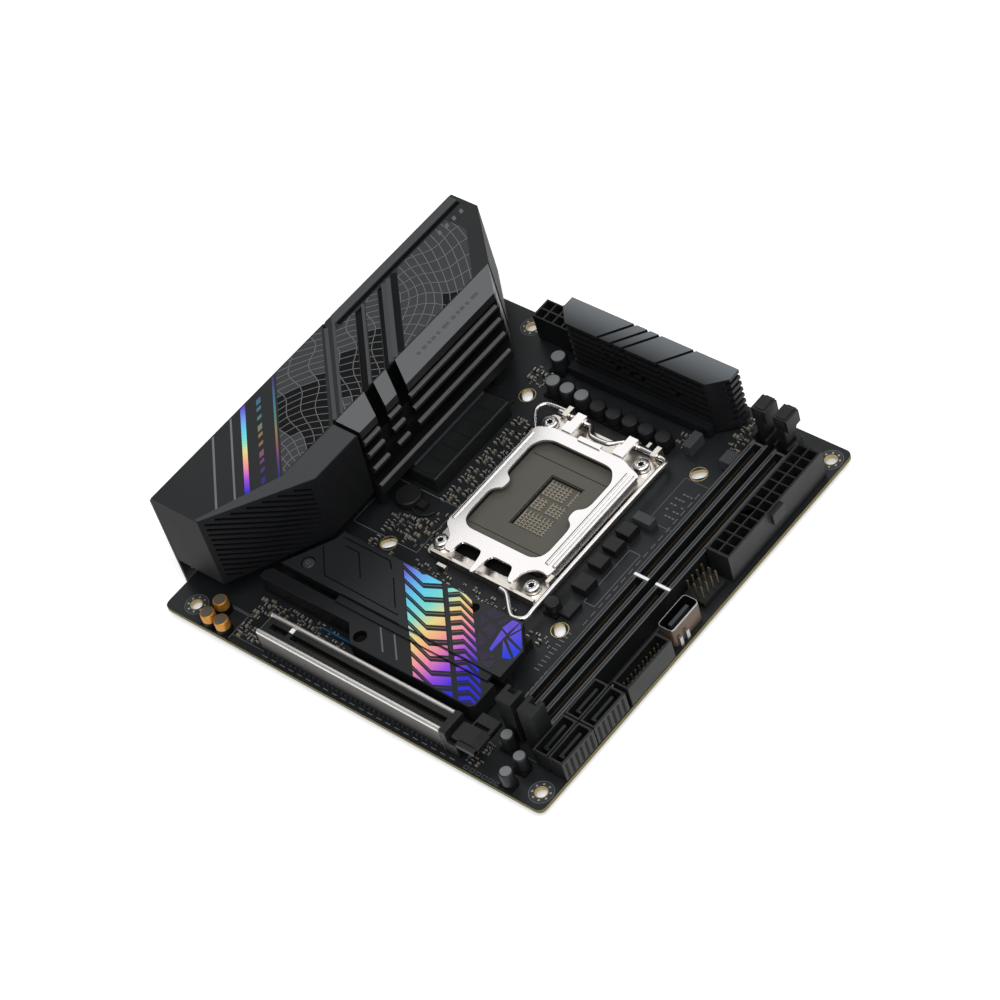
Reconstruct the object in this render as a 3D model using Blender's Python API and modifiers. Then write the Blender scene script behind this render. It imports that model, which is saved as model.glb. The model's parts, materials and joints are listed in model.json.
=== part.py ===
"""A small desktop motherboard (170 mm square) with its socket, slots, heatsinks and rear ports.

Lengths are millimetres on the board's grid: x from the rear-port edge towards the memory slots,
y from the expansion-slot edge towards the processor power plug, z up from the board's underside.
place() turns them into metres and puts the origin at the middle of the board's underside.
"""
import bpy
import bmesh
from math import atan2, cos, pi, radians, sin, tan
from mathutils import Matrix, Vector

MM = 0.001
GAP = 0.3                      # clearance kept between pieces that touch

BOARD = 170.0
BOARD_THICK = 1.6
BOARD_CORNER = 3.0
SEAT = BOARD_THICK + GAP       # height at which everything stands on the board
HOLE_RADIUS = 1.98
HOLE_PLACES = [(10.16, 6.35), (165.1, 6.35), (165.1, 163.83), (33.02, 163.83)]

SOCKET_X, SOCKET_Y = 90.76, 98.85
COOLER_REACH = 38.25           # from the socket's centre to each cooler hole, along x and y
COOLER_HOLE_RADIUS = 1.9
COOLER_HOLE_TRAVEL = 1.0
ILM_REACH_X, ILM_REACH_Y = 20.3, 30.1
ILM_BORE = 1.7
ILM_SHANK = 1.4
ILM_HEAD = 3.0

HINGE_Y, HINGE_Z = 134.6, 5.2  # the shaft that the lever and the load plate turn on
WIRE = 0.95                    # radius of the lever's wire
PLATE_Z = (7.0, 8.0)

BACKPLATE_Z = (-2.5, -0.3)
SHIELD_X = (-2.8, -1.8)
SHIELD_Y = (13.5, 173.8)
SHIELD_Z = (-2.5, 41.9)

TOWER_TOP = 44.0
TOWER_WALL = 1.8
SHELL_LEFT = -1.5
SHELL_BOTTOM = 11.0
TOWER_X = 44.4
TOP_SINK_TOP = 27.0

DIMM_WIDTH = 6.4
DIMM_CENTRES = [144.8, 153.8]
DIMM_Y = (18.0, 161.6)
DIMM_TOP = 10.0
DIMM_GROOVE = 1.5              # half the width of the groove that takes the memory module
DIMM_KEY_Y = 87.4
LATCH_PIVOT_Y, LATCH_PIVOT_Z = 157.6, 4.9

PCIE_Y = 7.75
PCIE_X = (46.1, 130.0)
PCIE_TOP = 12.0
PCIE_LATCH_X, PCIE_LATCH_Z = 132.0, 7.2

BUTTON_RADIUS = 1.8
PORT_FRONT = -3.6
PORT_BACK = 14.0

# Turns that stand a flat outline up: its depth then runs along the named axis.
STAND_UP = {"X": Matrix(((0, 0, 1, 0), (1, 0, 0, 0), (0, 1, 0, 0), (0, 0, 0, 1))),
            "Y": Matrix(((1, 0, 0, 0), (0, 0, -1, 0), (0, 1, 0, 0), (0, 0, 0, 1)))}

parts = bpy.data.collections.new("motherboard")
cutters = bpy.data.collections.new("cutters")


def clear_scene():
    for item in list(bpy.data.objects):
        bpy.data.objects.remove(item, do_unlink=True)
    for group in (parts, cutters):
        bpy.context.scene.collection.children.link(group)


def place(x, y, z):
    return Vector(((x - BOARD / 2) * MM, (y - BOARD / 2) * MM, z * MM))


def material(name, colour, roughness, metallic=0.0):
    made = bpy.data.materials.new(name)
    made.use_nodes = True
    shader = made.node_tree.nodes["Principled BSDF"]
    shader.inputs["Base Color"].default_value = (*colour, 1.0)
    shader.inputs["Roughness"].default_value = roughness
    shader.inputs["Metallic"].default_value = metallic
    return made


BLACK_MASK = material("board_black", (0.020, 0.021, 0.023), 0.45)
BLACK_PLASTIC = material("black_plastic", (0.018, 0.019, 0.021), 0.45)
GREY_PLASTIC = material("grey_plastic", (0.06, 0.065, 0.07), 0.5)
TAN_PLASTIC = material("socket_plastic", (0.11, 0.105, 0.095), 0.55)
STEEL = material("steel", (0.78, 0.77, 0.75), 0.25, 1.0)
DARK_STEEL = material("dark_steel", (0.30, 0.30, 0.31), 0.4, 1.0)
ANODISED = material("black_anodised", (0.025, 0.027, 0.030), 0.42, 0.6)
PAD = material("thermal_pad", (0.33, 0.36, 0.40), 0.85)
SILICON = material("chip", (0.03, 0.03, 0.035), 0.3)
GOLD = material("gold", (0.80, 0.58, 0.22), 0.3, 1.0)
BUTTON_PLASTIC = material("button_plastic", (0.10, 0.10, 0.11), 0.5)


def add_object(name, mesh, centre, finish, group=parts):
    """Put a mesh that is centred on its own origin at a place on the board's grid."""
    made = bpy.data.objects.new(name, mesh)
    made.location = place(*centre)
    group.objects.link(made)
    if group is cutters:
        made.hide_render = True
        made.display_type = "WIRE"
    else:
        mesh.materials.clear()
        mesh.materials.append(finish)
    return made


def middle(span):
    return (span[0] + span[1]) / 2


def add_cube(bm, x, y, z, about):
    """Add a box with the given low and high limits to a mesh centred at `about`."""
    size = Vector((x[1] - x[0], y[1] - y[0], z[1] - z[0])) * MM
    centre = place(middle(x), middle(y), middle(z)) - place(*about)
    matrix = Matrix.Translation(centre) @ Matrix.Diagonal((*size, 1.0))
    bmesh.ops.create_cube(bm, size=1.0, matrix=matrix)


def box(name, x, y, z, finish=None, group=parts, bevel=0.0):
    centre = (middle(x), middle(y), middle(z))
    bm = bmesh.new()
    add_cube(bm, x, y, z, centre)
    mesh = bpy.data.meshes.new(name)
    bm.to_mesh(mesh)
    bm.free()
    made = add_object(name, mesh, centre, finish, group)
    if bevel:
        edge = made.modifiers.new("edges", "BEVEL")
        edge.width = bevel * MM
        edge.segments = 1
    return made


def many_boxes(name, spans):
    """One cutter made of several boxes that don't touch each other."""
    bm = bmesh.new()
    for x, y, z in spans:
        add_cube(bm, x, y, z, (0, 0, 0))
    mesh = bpy.data.meshes.new(name)
    bm.to_mesh(mesh)
    bm.free()
    return add_object(name, mesh, (0, 0, 0), None, cutters)


def cylinder(name, centre, radius, length, finish=None, group=parts, axis="Z", sides=16, top=None):
    """A cylinder (or a cone frustum, with `top`) whose middle is at `centre`."""
    turn = {"Z": Matrix.Identity(4), "X": Matrix.Rotation(pi / 2, 4, "Y"),
            "Y": Matrix.Rotation(-pi / 2, 4, "X")}[axis]
    bm = bmesh.new()
    bmesh.ops.create_cone(bm, cap_ends=True, segments=sides, radius1=radius * MM,
                          radius2=(radius if top is None else top) * MM, depth=length * MM, matrix=turn)
    mesh = bpy.data.meshes.new(name)
    bm.to_mesh(mesh)
    bm.free()
    mesh.shade_smooth()
    mesh.set_sharp_from_angle(angle=radians(35))
    return add_object(name, mesh, centre, finish, group)


def prism(name, outline, depth, finish=None, group=parts, holes=(), axis="Z"):
    """A flat outline given thickness along an axis. Along X, the outline holds (y, z) pairs."""
    curve = bpy.data.curves.new(name, "CURVE")
    curve.dimensions = "2D"
    curve.fill_mode = "BOTH"
    curve.extrude = (depth[1] - depth[0]) / 2 * MM
    for loop in [outline, *holes]:
        spline = curve.splines.new("POLY")
        spline.points.add(len(loop) - 1)
        for point, (u, v) in zip(spline.points, loop):
            point.co = (u * MM, v * MM, 0, 1)
        spline.use_cyclic_u = True
    guide = bpy.data.objects.new(name + "_outline", curve)
    bpy.context.scene.collection.objects.link(guide)
    graph = bpy.context.evaluated_depsgraph_get()
    mesh = bpy.data.meshes.new_from_object(guide.evaluated_get(graph))
    bpy.data.objects.remove(guide)
    bm = bmesh.new()
    bm.from_mesh(mesh)
    bmesh.ops.remove_doubles(bm, verts=bm.verts, dist=1e-6)
    if axis in STAND_UP:
        bmesh.ops.transform(bm, verts=bm.verts, matrix=STAND_UP[axis])
    bmesh.ops.recalc_face_normals(bm, faces=bm.faces)
    bm.to_mesh(mesh)
    bm.free()
    centre = {"Z": (0, 0, middle(depth)), "X": (middle(depth), 0, 0), "Y": (0, middle(depth), 0)}[axis]
    return add_object(name, mesh, centre, finish, group)


def boolean(target, other, operation):
    step = target.modifiers.new(operation.lower(), "BOOLEAN")
    step.operation = operation
    step.solver = "EXACT"
    step.object = other
    return target


def cut(target, *others):
    for other in others:
        boolean(target, other, "DIFFERENCE")
    return target


def join(target, *others):
    for other in others:
        boolean(target, other, "UNION")
    return target


def set_pivot(target, x, y, z):
    """Move an object's origin to its joint without moving its mesh."""
    shift = place(x, y, z) - target.location
    target.data.transform(Matrix.Translation(-shift))
    target.location = place(x, y, z)


def circle(x, y, radius, steps=16, start=0.0, sweep=2 * pi):
    count = steps if sweep == 2 * pi else steps + 1
    return [(x + radius * cos(start + sweep * i / steps), y + radius * sin(start + sweep * i / steps))
            for i in range(count)]


def rounded(corners, radius, steps=3):
    """The outline with each corner swapped for a short curve."""
    outline = []
    for i, corner in enumerate(corners):
        here = Vector(corner)
        before = (Vector(corners[i - 1]) - here).normalized() * radius + here
        after = (Vector(corners[(i + 1) % len(corners)]) - here).normalized() * radius + here
        for k in range(steps + 1):
            t = k / steps
            outline.append(tuple(before * (1 - t) ** 2 + here * 2 * t * (1 - t) + after * t ** 2))
    return outline


def rectangle(x, y):
    return [(x[0], y[0]), (x[1], y[0]), (x[1], y[1]), (x[0], y[1])]


def oblong(x, y, radius, travel, angle):
    """A slot-shaped outline: two half circles joined by straight sides."""
    outline = []
    for side in (0, 1):
        facing = angle - pi / 2 + side * pi
        push = travel if side == 0 else -travel
        cx, cy = x + push * cos(angle), y + push * sin(angle)
        outline += circle(cx, cy, radius, 6, facing, pi)
    return outline


def four_corners(reach_x, reach_y):
    return [(SOCKET_X + sx * reach_x, SOCKET_Y + sy * reach_y) for sx in (-1, 1) for sy in (-1, 1)]


# ---------------------------------------------------------------- board and socket

def make_board():
    holes = [circle(x, y, HOLE_RADIUS) for x, y in HOLE_PLACES]
    for x, y in four_corners(COOLER_REACH, COOLER_REACH):
        angle = atan2(y - SOCKET_Y, x - SOCKET_X)
        holes.append(oblong(x, y, COOLER_HOLE_RADIUS, COOLER_HOLE_TRAVEL, angle))
    holes += [circle(x, y, ILM_BORE, 12) for x, y in four_corners(ILM_REACH_X, ILM_REACH_Y)]
    edge = rounded(rectangle((0, BOARD), (0, BOARD)), BOARD_CORNER, 5)
    prism("circuit_board", edge, (0, BOARD_THICK), BLACK_MASK, holes=holes)


def make_backplate():
    outer = rounded(rectangle((57.8, 123.7), (64.5, 133.2)), 4)
    window = rounded(rectangle((76.0, 105.5), (84.0, 113.7)), 2)
    bores = [circle(x, y, ILM_BORE, 12) for x, y in four_corners(ILM_REACH_X, ILM_REACH_Y)]
    prism("socket_backplate", outer, BACKPLATE_Z, DARK_STEEL, holes=[window, *bores])


def make_cpu_socket():
    """The contact housing: a shallow tray with a deeper well in its middle."""
    housing = box("cpu_socket", (71.4, 110.1), (73.9, 123.8), (SEAT, 6.6), TAN_PLASTIC)
    tray = box("socket_tray_cut", (72.4, 109.1), (75.9, 121.8), (4.4, 8.0), group=cutters)
    well = box("socket_well_cut", (86.6, 100.2), (87.0, 110.2), (3.0, 5.0), group=cutters)
    cut(housing, tray, well)


def make_ilm_frame():
    """The stamped frame round the socket, with a front lip and the bearings of the lever's shaft."""
    outer = rounded(rectangle((67.6, 117.4), (63.4, 133.8)), 2)
    window = rounded(rectangle((70.9, 110.6), (73.3, 124.4)), 1)
    bores = [circle(x, y, ILM_BORE, 12) for x, y in four_corners(ILM_REACH_X, ILM_REACH_Y)]
    frame = prism("ilm_frame", outer, (SEAT, 3.4), STEEL, holes=[window, *bores])
    lip = box("frame_lip", (70.0, 116.0), (63.4, 64.6), (3.0, 5.4), group=cutters)
    hook = box("frame_hook", (115.9, 117.4), (71.0, 74.4), (3.0, 8.0), group=cutters)
    join(frame, lip, hook)
    for i, x in enumerate([(73.6, 75.6), (112.6, 114.6)]):
        bearing = box(f"frame_bearing_{i}", x, (132.4, 137.0), (3.0, 7.4), group=cutters)
        eye = cylinder(f"frame_eye_{i}", (middle(x), HINGE_Y, HINGE_Z), WIRE + 0.35, 4,
                       group=cutters, axis="X", sides=12)
        join(frame, bearing)
        cut(frame, eye)


def make_load_plate():
    """The sprung plate that holds the processor down: it lifts about the hinge shaft."""
    big_screw = circle(112.4, 67.6, 6.0, 6, radians(160), radians(-95))
    edge = [(69, 74.5), (73.0, 71.6), (74.6, 69.6), (75.6, 65.0), (79.0, 64.8), (79.6, 68.4),
            (81.6, 70.7), (83.3, 69.2), (85.2, 70.6), (88.0, 70.2), (89.4, 66.4), (89.7, 61.6),
            (91.7, 61.6), (92.0, 66.4), (93.6, 70.3), (95.8, 70.8), (97.3, 69.2), (99.0, 70.5),
            (101.8, 70.1), (103.6, 66.4), (104.2, 64.6), (106.4, 64.8), *big_screw, (115.8, 74.6),
            (115.8, 123.0), (111.0, 124.2), (107.0, 126.0), (75.0, 126.0), (69.6, 123.6), (69, 122.0)]
    window = [(77.5, 76.5), (105.0, 76.5), (108.0, 78.5), (109.0, 81.5), (109.0, 92.0),
              (107.5, 94.5), (105.5, 98.2), (107.5, 102.0), (109.0, 104.5), (109.0, 116.0),
              (106.0, 120.3), (103.0, 121.2), (79.0, 121.2), (75.0, 119.4), (73.2, 116.0),
              (73.2, 103.5), (75.2, 101.6), (77.0, 98.2), (75.2, 94.6), (73.2, 92.6),
              (73.2, 81.5), (74.4, 78.4)]
    plate = prism("ilm_load_plate", edge, PLATE_Z, STEEL, holes=[window])
    for i, x in enumerate([(69.2, 70.2), (114.6, 115.6)]):
        flange = box(f"plate_flange_{i}", x, (76.0, 121.5), (4.6, 7.6), group=cutters)
        join(plate, flange)
    for i, x in enumerate([(78.6, 82.6), (101.4, 105.4)]):
        lug = box(f"plate_lug_{i}", x, (124.0, 135.8), (PLATE_Z[0] + 0.1, PLATE_Z[1] - 0.1),
                  group=cutters)
        join(plate, lug)
    set_pivot(plate, SOCKET_X, HINGE_Y, HINGE_Z)


def bent_wire(name, points, radius, finish):
    """A round wire through the given points, with closed ends, as a mesh."""
    curve = bpy.data.curves.new(name, "CURVE")
    curve.dimensions = "3D"
    curve.bevel_depth = radius * MM
    curve.bevel_resolution = 2
    curve.use_fill_caps = True
    spline = curve.splines.new("POLY")
    spline.points.add(len(points) - 1)
    for point, spot in zip(spline.points, points):
        point.co = (*place(*spot), 1)
    guide = bpy.data.objects.new(name + "_path", curve)
    bpy.context.scene.collection.objects.link(guide)
    graph = bpy.context.evaluated_depsgraph_get()
    mesh = bpy.data.meshes.new_from_object(guide.evaluated_get(graph))
    bpy.data.objects.remove(guide)
    bm = bmesh.new()
    bm.from_mesh(mesh)
    bmesh.ops.remove_doubles(bm, verts=bm.verts, dist=1e-6)
    bmesh.ops.recalc_face_normals(bm, faces=bm.faces)
    bm.to_mesh(mesh)
    bm.free()
    mesh.shade_smooth()
    return add_object(name, mesh, (BOARD / 2, BOARD / 2, 0), finish)


def make_lever():
    """One bent wire: the shaft with its crank, the arm beside the plate and the finger loop."""
    arm_x, arm_z = 118.8, 6.4
    route = [(70.5, HINGE_Y, HINGE_Z), (84.5, HINGE_Y, HINGE_Z), (86.0, HINGE_Y - 1.4, HINGE_Z + 0.5),
             (88.0, 130.2, 6.8), (89.6, 129.4, 7.0), (95.6, 129.4, 7.0), (97.2, 130.2, 6.8),
             (99.2, HINGE_Y - 1.4, HINGE_Z + 0.5), (100.4, HINGE_Y, HINGE_Z), (116.4, HINGE_Y, HINGE_Z),
             (118.0, HINGE_Y - 0.6, HINGE_Z + 0.2), (arm_x, 132.6, 5.7), (arm_x, 128.0, arm_z),
             (arm_x, 60.0, arm_z), (arm_x + 0.6, 57.4, arm_z), (arm_x - 0.4, 55.4, arm_z),
             (115.0, 54.2, arm_z), (113.0, 55.2, arm_z),
             (107.4, 60.6, arm_z), (105.6, 61.6, arm_z), (103.4, 61.8, arm_z)]
    lever = bent_wire("ilm_lever", route, WIRE, STEEL)
    set_pivot(lever, SOCKET_X, HINGE_Y, HINGE_Z)


def make_ilm_screws():
    """Four Torx screws that pass through the frame and the board into the backplate."""
    for i, (x, y) in enumerate(four_corners(ILM_REACH_X, ILM_REACH_Y)):
        head = cylinder(f"ilm_screw_{i + 1}", (x, y, 4.8), ILM_HEAD, 2.2, STEEL, sides=16, top=2.6)
        shank = cylinder(f"ilm_shank_{i}", (x, y, 0.95), ILM_SHANK, 6.3, group=cutters, sides=12)
        join(head, shank)
        bit = cylinder(f"ilm_bit_{i}", (x, y, 6.0), 1.3, 2.4, group=cutters, sides=6)
        cut(head, bit)


# ---------------------------------------------------------------- memory, expansion and plugs

def make_dimm_slots():
    for name, centre in zip("ab", DIMM_CENTRES):
        x = (centre - DIMM_WIDTH / 2, centre + DIMM_WIDTH / 2)
        groove = (centre - DIMM_GROOVE, centre + DIMM_GROOVE)
        slot = box(f"dimm_slot_{name}", x, DIMM_Y, (SEAT, DIMM_TOP), BLACK_PLASTIC)
        tower = box(f"dimm_tower_{name}", x, (DIMM_Y[0], 24.8), (3.0, 22.0), group=cutters)
        cheeks = box(f"dimm_cheeks_{name}", x, (153.4, 161.6), (3.0, 12.4), group=cutters)
        join(slot, tower, cheeks)
        runs = [(22.4, DIMM_KEY_Y - 0.9), (DIMM_KEY_Y + 0.9, 152.0)]
        long_cut = many_boxes(f"dimm_groove_{name}", [(groove, run, (3.2, 24.0)) for run in runs])
        yoke = box(f"dimm_yoke_{name}", (centre - 2.1, centre + 2.1), (153.0, 163.0), (2.6, 14.0),
                   group=cutters)
        cut(slot, long_cut, yoke)


def make_dimm_latches():
    """The ejector levers at the top of the slots, standing up in their yokes."""
    foot = [(LATCH_PIVOT_Y + 2.0 * cos(a), LATCH_PIVOT_Z + 2.0 * sin(a))
            for a in [pi + k * pi / 6 for k in range(7)]]
    side = [*foot, (LATCH_PIVOT_Y + 2.2, 14.0), (162.6, 19.0), (163.0, 23.6), (161.4, 24.4),
            (156.4, 24.4), (155.2, 22.6), (155.0, 17.0)]
    for name, centre in zip("ab", DIMM_CENTRES):
        latch = prism(f"dimm_latch_{name}", side, (centre - 1.7, centre + 1.7), BLACK_PLASTIC, axis="X")
        head = box(f"latch_head_{name}", (centre - 2.9, centre + 2.9), (155.6, 162.4), (18.6, 24.0),
                   group=cutters)
        join(latch, head)
        set_pivot(latch, centre, LATCH_PIVOT_Y, LATCH_PIVOT_Z)


def make_pcie_slot():
    slot = box("pcie_slot", PCIE_X, (PCIE_Y - 3.9, PCIE_Y + 3.9), (SEAT, PCIE_TOP), BLACK_PLASTIC)
    end = box("pcie_end", (127.7, 130.0), (2.9, 12.6), (2.5, 12.8), group=cutters)
    ears = [box(f"pcie_ear_{i}", (129.0, 133.6), y, (2.5, 8.2), group=cutters)
            for i, y in enumerate([(2.9, 4.1), (11.4, 12.6)])]
    join(slot, end, *ears)
    groove = (PCIE_Y - 1.0, PCIE_Y + 1.0)
    runs = [(48.0, 55.6), (57.4, 126.4)]
    cut(slot, many_boxes("pcie_groove", [(run, groove, (4.0, 14.0)) for run in runs]))


def make_pcie_armour():
    """The steel sleeve round the expansion slot, open at its top and at the latch end."""
    armour = box("pcie_armour", (45.2, 127.4), (3.0, 12.5), (SEAT, 12.9), STEEL)
    hollow = box("armour_hollow", (45.8, 129.0), (3.6, 11.9), (1.0, 12.3), group=cutters)
    mouth = box("armour_mouth", (47.4, 129.0), (5.0, 10.5), (11.0, 14.0), group=cutters)
    cut(armour, hollow, mouth)


def make_pcie_latch():
    """The card retainer: pressing its broad tail down frees the card."""
    side = [(130.7, 6.3), (133.4, 6.0), (135.0, 8.3), (141.6, 8.3), (142.6, 9.2), (142.4, 10.6),
            (139.0, 11.2), (131.4, 11.2), (130.7, 10.4)]
    latch = prism("pcie_latch", side, (4.5, 11.0), BLACK_PLASTIC, axis="Y")
    paddle = box("latch_paddle", (134.2, 142.0), (2.6, 17.2), (8.6, 10.6), group=cutters)
    join(latch, paddle)
    cut(latch, box("latch_slit", (134.8, 140.6), (11.6, 13.0), (7.0, 12.0), group=cutters))
    set_pivot(latch, PCIE_LATCH_X, PCIE_Y, PCIE_LATCH_Z)


def make_power_header(name, x, y, top, columns, rows, pitch):
    """A power socket: a block with one square pocket for each pin."""
    block = box(name, x, y, (SEAT, top), BLACK_PLASTIC)
    half = 1.75
    pockets = []
    for i in range(columns):
        for k in range(rows):
            cx = middle(x) + (i - (columns - 1) / 2) * pitch
            cy = middle(y) + (k - (rows - 1) / 2) * pitch
            pockets.append(((cx - half, cx + half), (cy - half, cy + half), (4.5, top + 2)))
    cut(block, many_boxes(name + "_pockets", pockets))
    return block


def make_power_headers():
    atx = make_power_header("atx_power_header", (158.7, 168.1), (105.2, 157.4), 14.0, 2, 12, 4.2)
    join(atx, box("atx_catch", (167.6, 169.6), (127.6, 134.0), (8.0, 13.0), group=cutters))
    eps = make_power_header("eps_power_header", (39.0, 56.6), (160.6, 169.4), 13.6, 4, 2, 4.2)
    join(eps, box("eps_catch", (45.3, 50.3), (168.8, 170.6), (8.0, 12.6), group=cutters))


def make_sata_ports():
    """Four upright drive sockets, each with its L-shaped tongue."""
    number = 0
    for x in (157.4, 163.8):
        for y in (13.8, 30.4):
            number += 1
            wall = box(f"sata_port_{number}", (x, x + 6.1), (y, y + 16.2), (SEAT, 10.4), BLACK_PLASTIC)
            mouth = box(f"sata_mouth_{number}", (x + 0.8, x + 5.3), (y + 0.9, y + 15.3), (3.4, 12),
                        group=cutters)
            tongue = box(f"sata_tongue_{number}", (x + 2.4, x + 3.6), (y + 2.6, y + 13.4), (3.0, 9.8),
                         group=cutters)
            toe = box(f"sata_toe_{number}", (x + 3.4, x + 4.5), (y + 2.6, y + 3.6), (3.0, 9.8),
                      group=cutters)
            join(cut(wall, mouth), tongue, toe)


def make_front_headers():
    usb3 = box("usb3_header", (163.4, 170.0), (48.0, 70.9), (SEAT, 10.6), BLACK_PLASTIC)
    cut(usb3, box("usb3_mouth", (164.3, 169.1), (48.8, 70.0), (3.6, 12.0), group=cutters))
    front_usb_c = box("usb_c_header", (161.8, 168.2), (73.6, 88.4), (SEAT, 10.5), STEEL)
    cut(front_usb_c, box("usb_c_mouth", (163.1, 166.9), (74.9, 87.1), (4.0, 12.0), group=cutters))
    join(front_usb_c, box("usb_c_tongue", (164.6, 165.4), (76.6, 85.4), (3.6, 9.4), group=cutters))
    panel = box("front_panel_header", (157.9, 166.4), (91.6, 103.2), (SEAT, 4.4), BLACK_PLASTIC)
    for column in range(3):
        for row in range(4):
            x, y = 159.3 + column * 2.8, 93.4 + row * 2.6
            pin = box(f"panel_pin_{column}_{row}", (x - 0.32, x + 0.32), (y - 0.32, y + 0.32),
                      (4.0, 10.2), group=cutters)
            join(panel, pin)


# ---------------------------------------------------------------- heatsinks and covers

LOWER_SHELL = [(SHELL_LEFT, 13.5), (20.5, 13.5), (TOWER_X, 48.0), (TOWER_X, 69.6), (33.2, 69.6),
               (SHELL_LEFT, 103.4)]
UPPER_SHELL = [(SHELL_LEFT, 104.4), (33.0, 70.9), (33.0, 154.0), (11.0, 174.0), (SHELL_LEFT, 174.0)]
VENT_START, VENT_END = Vector((20.5, 13.5)), Vector((TOWER_X, 48.0))
VENT_TILT = radians(25)
VENT_PITCH = 2.6
VENT_FIRST = SHELL_BOTTOM + 2.5
DRAFT_IN, DRAFT_UP = 2.4, 2.2


def draft_corner(cover):
    """Lean the wall beside the drive cover inwards: its lowest corners move in and up."""
    limit = place(38.0, 0, 0).x
    for vertex in cover.data.vertices:
        at = cover.location + vertex.co
        if at.x > limit and at.z < (SHELL_BOTTOM + 0.5) * MM:
            vertex.co += Vector((-DRAFT_IN, 0, DRAFT_UP)) * MM


def make_vent_cutter():
    """Slanted grooves on the diagonal wall, each a thin bar sunk into its face."""
    run = VENT_END - VENT_START
    bearing = atan2(run.y, run.x)
    highest = TOWER_TOP + run.length * tan(VENT_TILT) - 3.0
    bm = bmesh.new()
    for k in range(int((highest - VENT_FIRST) / VENT_PITCH) + 1):
        height = VENT_FIRST + k * VENT_PITCH
        first = max(2.0, (height - TOWER_TOP + 2.0) / tan(VENT_TILT))
        last = min(run.length - 2.6, (height - SHELL_BOTTOM - 1.6) / tan(VENT_TILT))
        if last - first < 4.0:
            continue
        along = (first + last) / 2
        spot = VENT_START + run.normalized() * along
        middle_height = height - along * tan(VENT_TILT)
        matrix = (Matrix.Translation(place(spot.x, spot.y, middle_height)) @ Matrix.Rotation(bearing, 4, "Z")
                  @ Matrix.Rotation(VENT_TILT, 4, "Y")
                  @ Matrix.Diagonal(((last - first) / cos(VENT_TILT) * MM, 3.2 * MM, 1.1 * MM, 1.0)))
        bmesh.ops.create_cube(bm, size=1.0, matrix=matrix)
    mesh = bpy.data.meshes.new("vent_grooves")
    bm.to_mesh(mesh)
    bm.free()
    return add_object("vent_grooves", mesh, (BOARD / 2, BOARD / 2, 0), None, cutters)


def make_lower_shell():
    """The front cover of the rear-port tower, hollow, open below and towards the port shield."""
    shell = prism("io_cover_front", LOWER_SHELL, (SHELL_BOTTOM, TOWER_TOP), ANODISED)
    inner = [(-5, 13.5 + TOWER_WALL), (19.2, 13.5 + TOWER_WALL), (41.9, 48.0), (41.9, 75.0), (33.0, 75.0),
             (-5, 112.0)]
    hollow = prism("cover_front_hollow", inner, (SHELL_BOTTOM - 3, TOWER_TOP - TOWER_WALL), group=cutters)
    draft_corner(shell)
    draft_corner(hollow)
    cut(shell, hollow, make_vent_cutter())


def make_upper_shell():
    """The rear cover of the tower, sitting on the tall heatsink."""
    shell = prism("io_cover_rear", UPPER_SHELL, (SHELL_BOTTOM, TOWER_TOP), GREY_PLASTIC)
    inner = [(-5, 100), (35, 64), (35, 149.6), (10.2, 172.2), (-5, 172.2)]
    hollow = prism("cover_rear_hollow", inner, (0, TOWER_TOP - TOWER_WALL), group=cutters)
    channels = [prism(f"cover_channel_{i}", [(5.5, y), (50, y - 44.5), (50, y - 49.5), (5.5, y - 5.0)],
                      (43.0, 46.0), group=cutters) for i, y in enumerate([129.0, 119.6])]
    cut(shell, hollow, *channels)


def make_left_heatsink():
    """The tall finned block over the power stages; it reaches across the rear ports."""
    outline = [(33.3, 70.9), (TOWER_X, 70.9), (TOWER_X, 143.2), (33.3, 153.2)]
    block = prism("vrm_heatsink_left", outline, (11.3, TOWER_TOP), ANODISED)
    core = prism("left_core", [(20.0, 86.0), (34.0, 73.0), (34.0, 148.0), (20.0, 160.0)], (11.3, 41.9),
                 group=cutters)
    bridge = prism("left_bridge", [(0.6, 106.0), (21.0, 85.4), (21.0, 159.0), (9.0, 169.6), (0.6, 169.6)],
                   (34.0, 41.9), group=cutters)
    legs = [cylinder(f"left_leg_{i}", (38.0, y, 7.0), 2.6, 10.2, group=cutters, sides=12)
            for i, y in enumerate([75.0, 137.5])]
    join(block, core, bridge, *legs)
    fins = [((TOWER_X - 4.2, 50.0), (60.0, 160.0), (low, high))
            for low, high in [(38.2, 40.6), (31.8, 36.4), (24.6, 30.0), (16.0, 22.8)]]
    cut(block, many_boxes("left_fin_gaps", fins))
    channels = [prism(f"left_channel_{i}", [(30.0, y), (50, y - 20.0), (50, y - 25.0), (30.0, y - 5.0)],
                      (30.0, 46.0), group=cutters) for i, y in enumerate([104.5, 95.1])]
    cut(block, *channels)


def make_top_heatsink():
    """The finned block along the board's top edge, with level fins in front and upright ones behind."""
    outline = [(57.0, 160.4), (62.4, 154.5), (124.0, 154.5), (130.0, 160.4), (130.0, 165.6), (57.0, 165.6)]
    block = prism("vrm_heatsink_top", outline, (3.2, TOP_SINK_TOP), ANODISED)
    join(block, box("top_base", (61.0, 123.4), (151.2, 156.0), (3.2, 6.8), group=cutters))
    levels = [((50.0, 122.6), (148.0, 159.0), (z, z + 1.7)) for z in (8.2, 11.3, 14.4, 17.5, 20.6, 23.7)]
    combs = [((x, x + 2.0), (161.8, 168.0), (6.8, 25.2)) for x in [60.0 + 4.6 * k for k in range(15)]]
    cut(block, many_boxes("top_levels", levels), many_boxes("top_combs", combs))


def make_pads_and_power_stages():
    box("choke_bank", (35.8, 54.0), (86.4, 127.4), (SEAT, 8.7), BLACK_PLASTIC, bevel=0.4)
    box("vrm_pad_left", (36.4, 43.8), (88.0, 126.0), (9.0, 11.0), PAD)
    box("vrm_pad_top", (62.0, 122.0), (153.0, 164.0), (SEAT, 2.9), PAD)


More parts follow.
